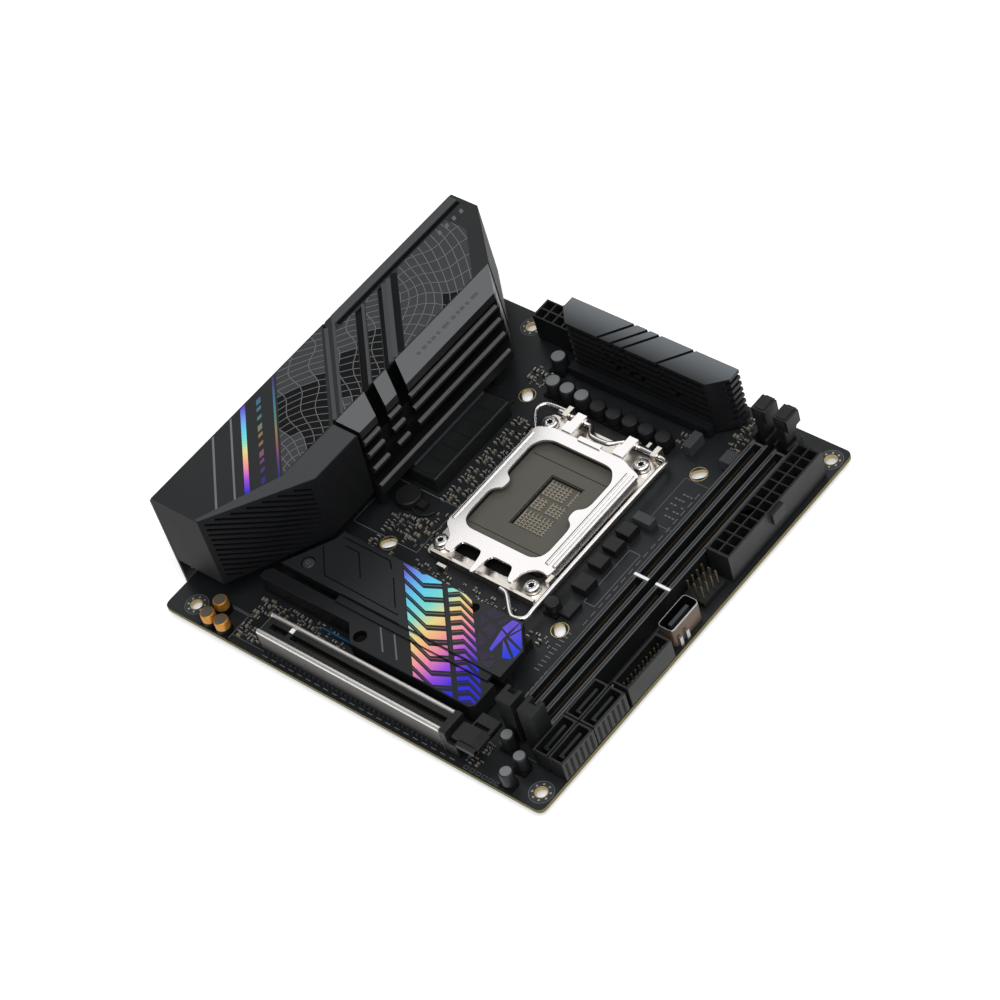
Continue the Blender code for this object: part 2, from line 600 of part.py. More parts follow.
def make_m2_stack():
    """The drive bay beside the expansion slot: cover, pad, socket and standoff."""
    outline = [(32.6, 30.2), (131.0, 30.2), (131.0, 42.4), (125.0, 49.0), (123.4, 51.6), (43.4, 51.6),
               (42.8, 47.8)]
    cover = prism("m2_cover", outline, (8.7, 12.0), ANODISED)
    legs = [cylinder(f"m2_leg_{i}", (x, y, 5.6), 2.2, 7.4, group=cutters, sides=12)
            for i, (x, y) in enumerate([(41.0, 35.0), (128.4, 34.0)])]
    join(cover, *legs)
    cut(cover, cylinder("m2_sink", (41.0, 35.0, 12.0), 2.6, 3.0, group=cutters, sides=16))
    screw = cylinder("m2_screw", (41.0, 35.0, 11.35), 2.2, 1.0, STEEL, sides=16)
    cut(screw, many_boxes("m2_screw_slot", [((39.0, 43.0), (34.7, 35.3), (11.5, 13.0))]))
    box("m2_pad", (48.0, 119.0), (31.0, 51.0), (7.4, 8.4), PAD)
    socket = box("m2_socket", (118.4, 125.8), (30.8, 51.0), (SEAT, 6.2), BLACK_PLASTIC)
    cut(socket, box("m2_mouth", (117.0, 123.0), (32.0, 49.8), (3.4, 4.6), group=cutters))
    cylinder("m2_standoff", (44.6, 43.0, 3.4), 2.4, 3.0, STEEL, sides=12)


def make_chipset():
    outline = [(28.4, 22.8), (70.0, 22.8), (76.0, 16.2), (128.4, 16.2), (130.2, 18.0), (130.2, 27.8),
               (30.6, 27.8), (28.4, 25.6)]
    prism("chipset_heatsink", outline, (3.2, 10.6), ANODISED)
    box("chipset", (94.0, 116.0), (17.0, 27.0), (SEAT, 2.9), SILICON)


# ---------------------------------------------------------------- rear ports

def port_mouth(name, y, z, depth=11.0):
    return box(name, (-6.0, PORT_FRONT + depth), y, z, group=cutters)


def port_tongue(name, y, z, reach=9.0):
    return box(name, (PORT_FRONT + 1.4, PORT_FRONT + reach + 3.0), y, z, group=cutters)


USB_WIDTH, USB_STEP = 12.6, 7.4
USB_STACKS = {"usb_stack_1": 128.4, "usb_stack_2": 110.6}
SHELL_SIDE = 0.5


def usb_rows(housing, name, y, count, first):
    """Cut a column of flat plug mouths, each with a tongue left in it."""
    for k in range(count):
        low = first + k * USB_STEP
        width = (y + SHELL_SIDE, y + SHELL_SIDE + USB_WIDTH)
        cut(housing, port_mouth(f"{name}_mouth_{k}", width, (low, low + 5.2)))
        tongue_width = (y + 1.6, y + USB_WIDTH - 0.6)
        join(housing, port_tongue(f"{name}_tongue_{k}", tongue_width, (low + 2.9, low + 4.6)))


def make_usb_stacks():
    for name, y in USB_STACKS.items():
        width = (y, y + USB_WIDTH + 2 * SHELL_SIDE)
        housing = box(name, (PORT_FRONT, PORT_BACK), width, (SEAT, 31.6), STEEL)
        usb_rows(housing, name, y, 4, 3.0)


def make_lan_stack():
    housing = box("lan_usb_stack", (PORT_FRONT, PORT_BACK), (88.0, 104.4), (SEAT, 31.6), STEEL)
    usb_rows(housing, "lan_usb", 89.4, 2, 3.0)
    cut(housing, port_mouth("lan_mouth", (90.2, 102.2), (19.6, 28.2), 13.0))
    cut(housing, port_mouth("lan_clip_mouth", (93.4, 99.0), (28.0, 30.2), 13.0))


def make_video_stack():
    """The two display sockets, one over the other."""
    housing = box("video_stack", (PORT_FRONT, PORT_BACK), (150.4, 168.0), (SEAT, 18.4), STEEL)
    for k, low in enumerate((3.2, 11.4)):
        cut(housing, port_mouth(f"video_mouth_{k}", (151.6, 166.8), (low, low + 4.8)))
        join(housing, port_tongue(f"video_tongue_{k}", (153.6, 164.8), (low + 1.7, low + 3.1)))


def make_type_c():
    housing = box("usb_c_port", (PORT_FRONT, 8.0), (72.0, 81.8), (SEAT, 6.0), STEEL)
    cut(housing, port_mouth("type_c_mouth", (72.6, 81.2), (2.4, 5.5), 8.0))
    join(housing, port_tongue("type_c_tongue", (73.8, 80.0), (3.6, 4.3), 6.0))


def make_antenna_block():
    block = box("antenna_block", (-1.4, 10.0), (50.4, 63.6), (SEAT, 27.0), DARK_STEEL)
    for i, z in enumerate((8.4, 20.6)):
        thread = cylinder(f"antenna_thread_{i}", (-4.6, 57.0, z), 3.1, 9.0, group=cutters, axis="X", sides=16)
        bore = cylinder(f"antenna_bore_{i}", (-8.0, 57.0, z), 1.9, 8.0, group=cutters, axis="X", sides=12)
        join(block, thread)
        cut(block, bore)


def make_audio_jacks():
    block = box("audio_jack_block", (PORT_FRONT + 0.4, 10.4), (17.4, 29.8), (SEAT, 36.0), BLACK_PLASTIC)
    for i, z in enumerate((8.0, 19.2, 30.4)):
        bore = cylinder(f"jack_bore_{i}", (-1.0, 23.6, z), 1.75, 14.0, group=cutters, axis="X", sides=12)
        cut(block, bore)


BUTTONS = {"bios_flash_button": 7.0, "clear_cmos_button": 15.0}
BUTTON_Y = 146.0


def make_buttons():
    """Two push buttons in one housing; each slides in along +x."""
    housing = box("button_housing", (-1.4, 9.0), (142.8, 149.2), (SEAT, 18.6), BLACK_PLASTIC)
    for name, z in BUTTONS.items():
        cut(housing, cylinder(name + "_bore", (-1.0, BUTTON_Y, z), BUTTON_RADIUS + 0.35, 9.0,
                              group=cutters, axis="X", sides=16))
        button = cylinder(name, (-1.6, BUTTON_Y, z), BUTTON_RADIUS, 6.0, BUTTON_PLASTIC, axis="X", sides=16)
        set_pivot(button, -4.6, BUTTON_Y, z)


def make_shield():
    """The steel plate that closes the case round the rear ports."""
    plate = box("io_shield", SHIELD_X, SHIELD_Y, SHIELD_Z, DARK_STEEL)
    clear = 0.35
    windows = [((y, y + USB_WIDTH + 2 * SHELL_SIDE), (SEAT, 31.6)) for y in USB_STACKS.values()]
    windows += [((88.0, 104.4), (SEAT, 31.6)), ((150.4, 168.0), (SEAT, 18.4)),
                ((72.0, 81.8), (SEAT, 6.0)), ((17.4, 29.8), (SEAT, 36.0))]
    grown = [((-5, 0), (y[0] - clear, y[1] + clear), (z[0] - clear, z[1] + clear)) for y, z in windows]
    cut(plate, many_boxes("shield_windows", grown))
    rounds = [(BUTTON_Y, z, BUTTON_RADIUS) for z in BUTTONS.values()]
    rounds += [(57.0, 8.4, 3.1), (57.0, 20.6, 3.1)]
    for i, (y, z, radius) in enumerate(rounds):
        cut(plate, cylinder(f"shield_round_{i}", (-2.3, y, z), radius + clear, 3, group=cutters, axis="X"))


AUDIO_CAPS = [(21.0, 9.2), (20.7, 2.9), (27.2, 2.9)]
CORNER_CAPS = [(145.4, 15.0), (154.4, 10.5), (154.4, 3.5)]


def make_battery_and_capacitors():
    cylinder("cmos_battery", (46.6, 79.0, 3.6), 4.8, 3.4, DARK_STEEL, sides=20)
    for i, (x, y) in enumerate(AUDIO_CAPS):
        cylinder(f"audio_capacitor_{i + 1}", (x, y, (SEAT + 8.0) / 2), 2.8, 8.0 - SEAT, GOLD)
    for i, (x, y) in enumerate(CORNER_CAPS):
        cylinder(f"corner_capacitor_{i + 1}", (x, y, (SEAT + 9.0) / 2), 2.6, 9.0 - SEAT, STEEL)


def main():
    clear_scene()
    make_board()
    make_backplate()
    make_cpu_socket()
    make_ilm_frame()
    make_load_plate()
    make_lever()
    make_ilm_screws()
    make_dimm_slots()
    make_dimm_latches()
    make_pcie_slot()
    make_pcie_armour()
    make_pcie_latch()
    make_power_headers()
    make_sata_ports()
    make_front_headers()
    make_lower_shell()
    make_upper_shell()
    make_left_heatsink()
    make_top_heatsink()
    make_pads_and_power_stages()
    make_m2_stack()
    make_chipset()
    make_usb_stacks()
    make_lan_stack()
    make_video_stack()
    make_type_c()
    make_antenna_block()
    make_audio_jacks()
    make_buttons()
    make_shield()
    make_battery_and_capacitors()


main()
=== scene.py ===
"""The looks of a small desktop motherboard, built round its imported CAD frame.

Lengths in this file are board millimetres: x from the rear-port edge, y from the expansion-slot edge,
z up from the board's underside. at() turns them into the row frame, in metres.
Materials work on object coordinates, and every piece sits at the origin, so they are metres too.
"""

import json
import random
from math import cos, hypot, pi, radians, sin

import bmesh
import bpy
from mathutils import Matrix, Vector

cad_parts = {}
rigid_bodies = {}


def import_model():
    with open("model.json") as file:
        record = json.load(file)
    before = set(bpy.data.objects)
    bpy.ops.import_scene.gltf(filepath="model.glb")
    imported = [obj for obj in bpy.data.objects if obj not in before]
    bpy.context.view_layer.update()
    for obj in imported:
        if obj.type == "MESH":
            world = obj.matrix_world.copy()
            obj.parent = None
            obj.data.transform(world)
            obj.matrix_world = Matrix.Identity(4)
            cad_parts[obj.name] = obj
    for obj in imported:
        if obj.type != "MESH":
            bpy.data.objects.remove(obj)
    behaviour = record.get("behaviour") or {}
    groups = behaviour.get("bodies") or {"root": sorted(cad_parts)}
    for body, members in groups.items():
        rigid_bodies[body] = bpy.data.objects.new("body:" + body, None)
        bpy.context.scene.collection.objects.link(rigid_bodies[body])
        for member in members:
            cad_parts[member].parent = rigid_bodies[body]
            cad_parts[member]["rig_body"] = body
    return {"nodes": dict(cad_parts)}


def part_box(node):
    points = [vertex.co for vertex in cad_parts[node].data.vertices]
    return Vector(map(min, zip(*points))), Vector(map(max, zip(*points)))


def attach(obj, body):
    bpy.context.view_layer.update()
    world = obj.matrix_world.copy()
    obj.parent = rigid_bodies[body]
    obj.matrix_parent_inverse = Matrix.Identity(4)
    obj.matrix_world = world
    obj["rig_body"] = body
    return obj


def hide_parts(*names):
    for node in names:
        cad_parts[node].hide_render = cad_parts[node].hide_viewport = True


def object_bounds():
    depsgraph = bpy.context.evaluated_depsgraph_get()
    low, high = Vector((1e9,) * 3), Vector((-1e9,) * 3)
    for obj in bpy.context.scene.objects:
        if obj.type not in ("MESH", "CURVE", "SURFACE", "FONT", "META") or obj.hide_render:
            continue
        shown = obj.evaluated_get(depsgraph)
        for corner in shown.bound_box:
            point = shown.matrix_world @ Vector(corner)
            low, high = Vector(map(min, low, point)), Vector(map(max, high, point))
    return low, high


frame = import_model()
cad_low, cad_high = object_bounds()

MM = 0.001
SIDE = 170.0                   # the board is square
MIDDLE = SIDE / 2
BOARD_TOP = 1.6
TOWER_TOP = 44.0
TOP_STEP = 0.35                # how far the tower's plain tops lie under its raised details
chance = random.Random(7)


def at(x, y, z=0.0):
    return Vector(((x - MIDDLE) * MM, (y - MIDDLE) * MM, z * MM))


def back(point):
    """A row-frame point in board millimetres."""
    return Vector((point.x / MM + MIDDLE, point.y / MM + MIDDLE, point.z / MM))


def node_box(node):
    """A CAD node's lowest and highest corners, in board millimetres."""
    return [back(corner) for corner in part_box(node)]


def node_middle(node):
    low, high = node_box(node)
    return (low.x + high.x) / 2, (low.y + high.y) / 2


# ---------------------------------------------------------------- materials

def linear(colour):
    """A screen colour, 0 to 255, as a linear colour."""
    return tuple(((c / 255 + 0.055) / 1.055) ** 2.4 if c > 10 else c / 3294.6 for c in colour)


def feed(tree, socket, value):
    """Link a node's input to another node's output, or set it to a value."""
    if isinstance(value, bpy.types.NodeSocket):
        tree.links.new(value, socket)
    else:
        socket.default_value = value


def add_node(tree, kind, **sockets):
    node = tree.nodes.new("ShaderNode" + kind)
    for name, value in sockets.items():
        feed(tree, node.inputs[name], value)
    return node


def noise(tree, where, size, detail):
    return add_node(tree, "TexNoise", Vector=where, Scale=1 / (size * MM), Detail=detail).outputs["Fac"]


def spread(tree, value, low, high, from_low=0.3, from_high=0.7):
    node = add_node(tree, "MapRange", Value=value)
    for socket, number in zip(node.inputs[1:5], (from_low, from_high, low, high)):
        socket.default_value = number
    return node.outputs["Result"]


def blend_colours(tree, factor, a, b):
    """Mix a colour, a socket or three linear numbers, with another."""
    node = add_node(tree, "Mix")
    node.data_type = "RGBA"
    feed(tree, node.inputs[0], factor)
    for socket, value in ((node.inputs[6], a), (node.inputs[7], b)):
        feed(tree, socket, value if isinstance(value, bpy.types.NodeSocket) else (*value, 1.0))
    return node.outputs[2]


def math_node(tree, operation, *values):
    node = add_node(tree, "Math")
    node.operation = operation
    for socket, value in zip(node.inputs, values):
        feed(tree, socket, value)
    return node.outputs[0]


def along(tree, where, direction):
    """How far a point lies along a direction, in board millimetres from the board's middle."""
    node = add_node(tree, "VectorMath")
    node.operation = "DOT_PRODUCT"
    feed(tree, node.inputs[0], where)
    node.inputs[1].default_value = Vector(direction) / MM
    return node.outputs["Value"]


def lines(tree, where, direction, per_mm, gap):
    """Parallel lines crossed by a direction: 1 on a line, and 0 for the gap's share of each step."""
    steps = math_node(tree, "MULTIPLY", along(tree, where, direction), per_mm)
    return math_node(tree, "GREATER_THAN", math_node(tree, "FRACT", steps), gap)


def finish(name, colour, rough, metal=0.0, vary=0.16, grain=0.3, cloud=14.0, bump=0.12,
           rough_vary=0.08, stretch=(1, 1, 1), shine=0.3, pattern=None):
    """A material whose colour drifts in soft clouds and whose surface has a fine grain (sizes in mm)."""
    made = bpy.data.materials.new(name)
    made.use_nodes = True
    tree = made.node_tree
    shader = tree.nodes["Principled BSDF"].inputs
    shader["Metallic"].default_value = metal
    shader["Specular IOR Level"].default_value = shine
    where = tree.nodes.new("ShaderNodeTexCoord").outputs["Object"]
    stretched = add_node(tree, "Mapping", Vector=where, Scale=stretch).outputs["Vector"]
    clouds = noise(tree, where, cloud, 3.0)
    grains = noise(tree, stretched, grain, 3.0)
    mixed = math_node(tree, "MULTIPLY_ADD", grains, 0.5, math_node(tree, "MULTIPLY", clouds, 0.5))
    dark = [c * (1 - vary) for c in linear(colour)]
    light = [min(1.0, c * (1 + vary)) for c in linear(colour)]
    tone = blend_colours(tree, spread(tree, mixed, 0.0, 1.0, 0.35, 0.65), dark, light)
    feed(tree, shader["Base Color"], pattern(tree, where, tone) if pattern else tone)
    rough_low, rough_high = max(0.04, rough - rough_vary), min(1.0, rough + rough_vary)
    feed(tree, shader["Roughness"], spread(tree, mixed, rough_low, rough_high))
    relief = add_node(tree, "Bump", Strength=bump, Distance=grain * 0.12 * MM, Height=grains)
    feed(tree, shader["Normal"], relief.outputs["Normal"])
    return made


def traces(tree, where, tone):
    """Copper tracks under the mask: fine lines in two directions, each in its own patches."""
    patches = noise(tree, where, 16.0, 1.0)
    for direction, low, high in (((1, 1, 0), 0.50, 0.53), ((0, 1, 0), 0.44, 0.41)):
        seen = spread(tree, patches, 0.0, 0.55, low, high)
        tracks = math_node(tree, "MULTIPLY", lines(tree, where, direction, 0.9, 0.62), seen)
        tone = blend_colours(tree, tracks, tone, linear((33, 36, 38)))
    return tone


def weave(tree, where, tone):
    """Glass-fibre layers seen on the board's cut edge."""
    return blend_colours(tree, lines(tree, where, (0, 0, 1), 2.6, 0.7), tone, linear((86, 78, 44)))


def contact_grid(tree, where, tone):
    """The field of fine contacts: a staggered grid of small bright dots."""
    pitch = 0.9
    waves = [math_node(tree, "SINE", math_node(tree, "MULTIPLY", along(tree, where, way), 2 * pi / pitch))
             for way in ((1, 0.5, 0), (0, 0.866, 0))]
    dots = spread(tree, math_node(tree, "MULTIPLY", *waves), 0.0, 1.0, 0.25, 0.9)
    return blend_colours(tree, dots, tone, linear((118, 113, 102)))


def dotted(tree, where, tone):
    """Tiny pale specks, like moulded-in glass fibre."""
    specks = math_node(tree, "GREATER_THAN", noise(tree, where, 0.35, 0.0), 0.72)
    return blend_colours(tree, math_node(tree, "MULTIPLY", specks, 0.1), tone, linear((120, 122, 125)))


SPECTRUM = ((0.00, (96, 84, 190)), (0.12, (110, 150, 235)), (0.26, (100, 205, 235)),
            (0.40, (130, 220, 205)), (0.52, (228, 214, 140)), (0.62, (240, 178, 132)),
            (0.74, (226, 128, 170)), (0.86, (150, 76, 215)), (1.00, (44, 44, 205)))


def spectrum(direction, low, high, strength=1.0):
    """A pattern that runs through the colours of a soap film along a direction."""
    def pattern(tree, where, tone):
        place = spread(tree, along(tree, where, direction), 0.0, 1.0, low, high)
        node = add_node(tree, "ValToRGB", Fac=place)
        stops = node.color_ramp.elements
        while len(stops) < len(SPECTRUM):
            stops.new(0.5)
        for stop, (position, colour) in zip(stops, SPECTRUM):
            stop.position = position
            stop.color = (*linear(colour), 1.0)
        return blend_colours(tree, strength, tone, node.outputs["Color"])
    return pattern


def fade(direction, low, high, colour):
    """A pattern that fades to another colour along a direction."""
    def pattern(tree, where, tone):
        share = spread(tree, along(tree, where, direction), 0.0, 1.0, low, high)
        return blend_colours(tree, share, tone, linear(colour))
    return pattern


BRUSHED_X = (0.2, 1, 1)
BAND_WAY = (1, -0.23, 0)       # the way the colours change on the drive bay's band
STRIPE_WAY = (1, -1, 0)        # and on the tower's stripes

MASK = finish("solder_mask", (25, 27, 29), 0.42, grain=0.4, cloud=22, bump=0.06, pattern=traces)
LAMINATE = finish("laminate_edge", (122, 112, 66), 0.7, bump=0.5, pattern=weave)
PLATING = finish("hole_plating", (196, 178, 128), 0.35, 0.7, grain=0.6)
RING_GREY = finish("ring_grey", (58, 60, 62), 0.4, 0.3, grain=0.4)
SILK = finish("silkscreen", (104, 106, 108), 0.6)
SOLDER = finish("solder", (160, 158, 152), 0.32, 0.45, vary=0.2, grain=0.4, bump=0.3)
STEEL = finish("bright_steel", (240, 237, 236), 0.25, 1.0, vary=0.03, grain=9.0, cloud=40, bump=0.0,
               stretch=(1, 0.3, 1), rough_vary=0.02)
ROLLED = finish("rolled_steel", (222, 216, 208), 0.28, 1.0, vary=0.06, grain=1.2, bump=0.03)
# The slot armour's walls: a dark copy of the bright steel, painted shade that is grey at the top and darkest towards
# the board.
SHADED_WALL_STEEL = finish("wall_steel_painted_shade", (26, 26, 26), 0.42, vary=0.08, grain=0.8, stretch=BRUSHED_X,
                    bump=0.06, pattern=fade((0, 0, 1), 4.0, 12.5, (88, 86, 83)))
RAIL_STEEL = finish("rail_steel", (226, 223, 219), 0.42, 0.9, vary=0.04, grain=1.2, bump=0.02,
                    stretch=BRUSHED_X)
PORT_STEEL = finish("port_steel", (168, 168, 168), 0.34, 0.9, vary=0.08, grain=0.6, bump=0.06,
                    stretch=BRUSHED_X)
DARK_STEEL = finish("dark_steel", (40, 41, 43), 0.48, 0.4, bump=0.2)
BRONZE = finish("header_bronze", (98, 82, 68), 0.38, 0.4, grain=0.5)
PIN_TIN = finish("pin_tin", (150, 140, 118), 0.4, 1.0, grain=0.5)
GOLD = finish("gold", (206, 172, 108), 0.32, 0.9, vary=0.15)
FIELD = finish("contact_field", (84, 82, 76), 0.55, vary=0.06, cloud=16, pattern=contact_grid)
HOUSING = finish("socket_housing", (30, 29, 28), 0.5, grain=0.4)
PALE_CONTACT = finish("pale_contact", (152, 146, 132), 0.4, 0.5, vary=0.2, grain=0.4)
DIM_CONTACT = finish("dim_contact", (88, 78, 60), 0.45, 0.5, vary=0.2, grain=0.4)
ANODISED = finish("black_anodised", (28, 29, 31), 0.42, 0.2, vary=0.10, grain=0.16, cloud=30, bump=0.18)
WALL = finish("anodised_wall", (21, 22, 24), 0.55, vary=0.10, grain=0.16, cloud=26, bump=0.18, shine=0.12)
COVER = finish("cover_top", (20, 22, 24), 0.42, vary=0.12, grain=0.2, cloud=30)
PANEL = finish("panel_grey", (100, 102, 104), 0.42, 0.3, vary=0.06, grain=0.2, cloud=26, bump=0.1)
BAND_GREY = finish("band_grey", (62, 64, 66), 0.42, 0.3, vary=0.08, grain=0.2, cloud=26, bump=0.1)
BAY_TOP_GREY = finish("bay_cover_top", (40, 42, 44), 0.40, 0.3, vary=0.07, grain=0.2, cloud=26, bump=0.15)
SMUDGE = finish("worn_dash", (78, 80, 82), 0.42, 0.3, vary=0.06, grain=0.2, cloud=26, bump=0.1)
CUT_EDGE = finish("machined_edge", (104, 105, 106), 0.34, 0.25, vary=0.08, grain=0.5, bump=0.05,
                  stretch=(1, 0.1, 1))
RIDGE = finish("ridge_grey", (64, 67, 70), 0.40, 0.2, vary=0.06, grain=0.2, bump=0.1)
WEB = finish("web_print", (110, 113, 116), 0.5, vary=0.12, cloud=18)
VEIL = finish("web_cell", (52, 54, 56), 0.5, vary=0.14, cloud=12)
# Deep black: the colour of real black parts, and also painted shade in gaps, holes and recesses.
BLACK = finish("deep_black", (9, 9, 10), 0.6, vary=0.2, shine=0.15)
SINK_TOP = finish("sink_top", (22, 24, 26), 0.36, 0.3, vary=0.06, grain=0.2, cloud=26, bump=0.1,
                  pattern=fade((0, 1, 0), 68.5, 80.8, (112, 117, 121)))
PLASTIC = finish("black_plastic", (23, 24, 25), 0.44, vary=0.10, grain=0.22, bump=0.2, pattern=dotted)
RAIL = finish("rail_plastic", (72, 74, 77), 0.40, vary=0.08, grain=0.22, bump=0.15, stretch=(1, 0.2, 1))
WHITE_KEY = finish("white_mark", (240, 240, 240), 0.5, vary=0.03, grain=0.5)
PAD = finish("thermal_pad", (66, 68, 71), 0.85, grain=0.8, bump=0.5)
EPOXY = finish("epoxy", (24, 25, 26), 0.40, grain=0.25, bump=0.25)
FERRITE = finish("ferrite", (62, 64, 67), 0.6, grain=0.35, bump=0.4)
TAN_CHIP = finish("ceramic_tan", (96, 82, 62), 0.5, vary=0.25, grain=0.4)
DARK_CHIP = finish("ceramic_dark", (30, 30, 31), 0.4, grain=0.4)
SLEEVE_GOLD = finish("gold_sleeve", (190, 134, 58), 0.32, 0.6, vary=0.1, grain=0.5, cloud=5, bump=0.05)
SLEEVE_DARK = finish("dark_sleeve", (26, 27, 28), 0.42)
CAN_TOP = finish("can_top", (118, 121, 123), 0.48, 0.2, vary=0.06, grain=0.4, bump=0.08)
CAN_BROWN = finish("can_top_brown", (98, 90, 80), 0.42, 0.3, vary=0.08, grain=0.4, bump=0.08)
CAN_BLACK = finish("can_black", (25, 25, 27), 0.35)
RUBBER = finish("shrink_sleeve", (22, 22, 24), 0.45, grain=0.6, bump=0.5)
LEAD = finish("lead_black", (26, 26, 28), 0.5, grain=0.4)
CABLE_BLUE = finish("cable_blue", (24, 66, 92), 0.4, grain=0.5)
LAMP_GREEN = finish("lamp_green", (120, 170, 90), 0.3, grain=0.5)
BUTTON = finish("button", (84, 84, 87), 0.5)
TONGUE_BLUE = finish("port_blue", (40, 96, 150), 0.5)
TONGUE_RED = finish("port_red", (158, 40, 44), 0.5)
SHEEN = finish("soap_film_band", (120, 120, 120), 0.30, 0.7, bump=0.04,
               pattern=spectrum(BAND_WAY, -5.5, 48.0))
SHEEN_DIM = finish("soap_film_dim", (30, 30, 36), 0.35, 0.3, bump=0.04,
                   pattern=spectrum(BAND_WAY, -5.5, 48.0, 0.2))
BAND_GROUND = finish("band_ground", (24, 24, 34), 0.35, 0.2, grain=0.5)
DEEP_BLUE = finish("deep_blue", (100, 78, 205), 0.30, 0.7, vary=0.2, grain=2.0, cloud=6, bump=0.02,
                   pattern=fade((1, -0.6, 0), 60.0, 70.0, (40, 66, 214)))
VIOLET = finish("violet_shade", (50, 40, 62), 0.35, 0.3, vary=0.3, grain=1.0, cloud=5)
STRIPE = finish("soap_film_stripe", (120, 120, 120), 0.3, 0.6, bump=0.04,
                pattern=spectrum(STRIPE_WAY, -60.0, -5.0))
STRIPE_DIM = finish("soap_film_stripe_dim", (26, 26, 31), 0.35, 0.2, bump=0.04,
                    pattern=spectrum(STRIPE_WAY, -75.0, -11.0, 0.28))
FLOOR = finish("pale_floor", (250, 250, 250), 0.8, vary=0.01, grain=30, cloud=600, bump=0.0)
floor_shader = FLOOR.node_tree.nodes["Principled BSDF"].inputs
FLOOR.node_tree.links.new(floor_shader["Base Color"].links[0].from_socket, floor_shader["Emission Color"])
floor_shader["Emission Strength"].default_value = 0.42


# ---------------------------------------------------------------- shapes

def clip(polygon, sides):
    """Clip an outline to half planes, each (a, b, c) keeping a*x + b*y <= c."""
    for a, b, c in sides:
        kept = []
        for before, here in zip(polygon[-1:] + polygon[:-1], polygon):
            far_here = a * here[0] + b * here[1] - c
            far_before = a * before[0] + b * before[1] - c
            if (far_here <= 0) != (far_before <= 0):
                t = far_before / (far_before - far_here)
                kept.append((before[0] + (here[0] - before[0]) * t, before[1] + (here[1] - before[1]) * t))
            if far_here <= 0:
                kept.append(here)
        polygon = kept
        if len(polygon) < 3:
            return []
    return polygon


def area(polygon):
    return abs(sum(a[0] * b[1] - b[0] * a[1] for a, b in zip(polygon, polygon[1:] + polygon[:1]))) / 2


def stroke(points, width):
    """A line of the given width as one quad for each straight run."""
    quads = []
    for (x0, y0), (x1, y1) in zip(points, points[1:]):
        length = hypot(x1 - x0, y1 - y0)
        nx, ny = -(y1 - y0) / length * width / 2, (x1 - x0) / length * width / 2
        quads.append([(x0 - nx, y0 - ny), (x1 - nx, y1 - ny), (x1 + nx, y1 + ny), (x0 + nx, y0 + ny)])
    return quads


def rectangle(x, y):
    """A closed path round two ranges."""
    return [(x[0], y[0]), (x[1], y[0]), (x[1], y[1]), (x[0], y[1]), (x[0], y[0])]


def circle(x, y, radius, height, steps, along_x=False):
    """A ring of points round an upright axis, or round one along x at the given y and z."""
    turns = [2 * pi * k / steps for k in range(steps)]
    spots = [(x + radius * cos(turn), y + radius * sin(turn)) for turn in turns]
    return [(height, *spot) if along_x else (*spot, height) for spot in spots]


def rounded_outline(points, reach=0.9, passes=2):
    """Cut the corners of a closed outline, each by no more than reach."""
    for _ in range(passes):
        cut = []
        for a, b in zip(points, points[1:] + points[:1]):
            t = min(0.3, reach / hypot(b[0] - a[0], b[1] - a[1]))
            cut += [(a[0] + (b[0] - a[0]) * s, a[1] + (b[1] - a[1]) * s) for s in (t, 1 - t)]
        points = cut
    return points


class Shape:
    """A piece under construction: faces in board millimetres, each with a material index."""

    def __init__(self):
        self.bm = bmesh.new()

    def loft(self, rings, index=0, closed=True):
        """Join rings of equal length, and close both ends."""
        rows = [[self.bm.verts.new(at(*point)) for point in ring] for ring in rings]
        made = []
        for low, high in zip(rows, rows[1:]):
            for i in range(len(low)):
                k = (i + 1) % len(low)
                made.append(self.bm.faces.new((low[i], low[k], high[k], high[i])))
        if closed:
            made += [self.bm.faces.new(rows[0][::-1]), self.bm.faces.new(rows[-1])]
        for face in made:
            face.material_index = index
        return made

    def slab(self, outline, low, high, index=0):
        self.loft([[(x, y, z) for x, y in outline] for z in (low, high)], index)

    def box(self, x, y, z, index=0, turn=0.0):
        cx, cy = (x[0] + x[1]) / 2, (y[0] + y[1]) / 2
        arms = [(px - cx, py - cy) for px, py in rectangle(x, y)[:4]]
        self.slab([(cx + dx * cos(turn) - dy * sin(turn), cy + dx * sin(turn) + dy * cos(turn))
                   for dx, dy in arms], *z, index)

    def draw(self, points, width, low, high, index=0):
        """A line with thickness."""
        for quad in stroke(points, width):
            self.slab(quad, low, high, index)

    def turned(self, x, y, profile, index=0, steps=24, along_x=False):
        """A solid of revolution: profile holds (radius, height) pairs along the axis."""
        self.loft([circle(x, y, radius, height, steps, along_x) for radius, height in profile], index)

    def washer(self, x, y, inner, outer, low, high, index=0, steps=32, along_x=False):
        section = (inner, low), (outer, low), (outer, high), (inner, high), (inner, low)
        self.loft([circle(x, y, radius, height, steps, along_x) for radius, height in section], index, closed=False)
        self.weld()

    def weld(self):
        bmesh.ops.remove_doubles(self.bm, verts=self.bm.verts, dist=1e-7)

    def mesh(self, name):
        bmesh.ops.recalc_face_normals(self.bm, faces=self.bm.faces)
        made = bpy.data.meshes.new(name)
        self.bm.to_mesh(made)
        self.bm.free()
        return made

    def done(self, name, finishes, slot, *rest, **details):
        return settle(bpy.data.objects.new(name, self.mesh(name)), finishes, slot, *rest, **details)


def link(made):
    bpy.context.scene.collection.objects.link(made)


def settle(made, finishes, slot, body="board", bevel=0.0, smooth=0.0, replaces=()):
    """Link a piece, give it its finishes and edges, and tie it to its body."""
    link(made)
    for item in finishes:
        made.data.materials.append(item)
    if smooth:
        made.data.shade_smooth()
        made.data.set_sharp_from_angle(angle=radians(smooth))
    if bevel:
        edge = made.modifiers.new("edges", "BEVEL")
        edge.width = bevel * MM
        edge.segments = 2
        edge.limit_method = "ANGLE"
        edge.angle_limit = radians(40)
    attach(made, body)
    if replaces:
        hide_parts(*replaces)
    return made


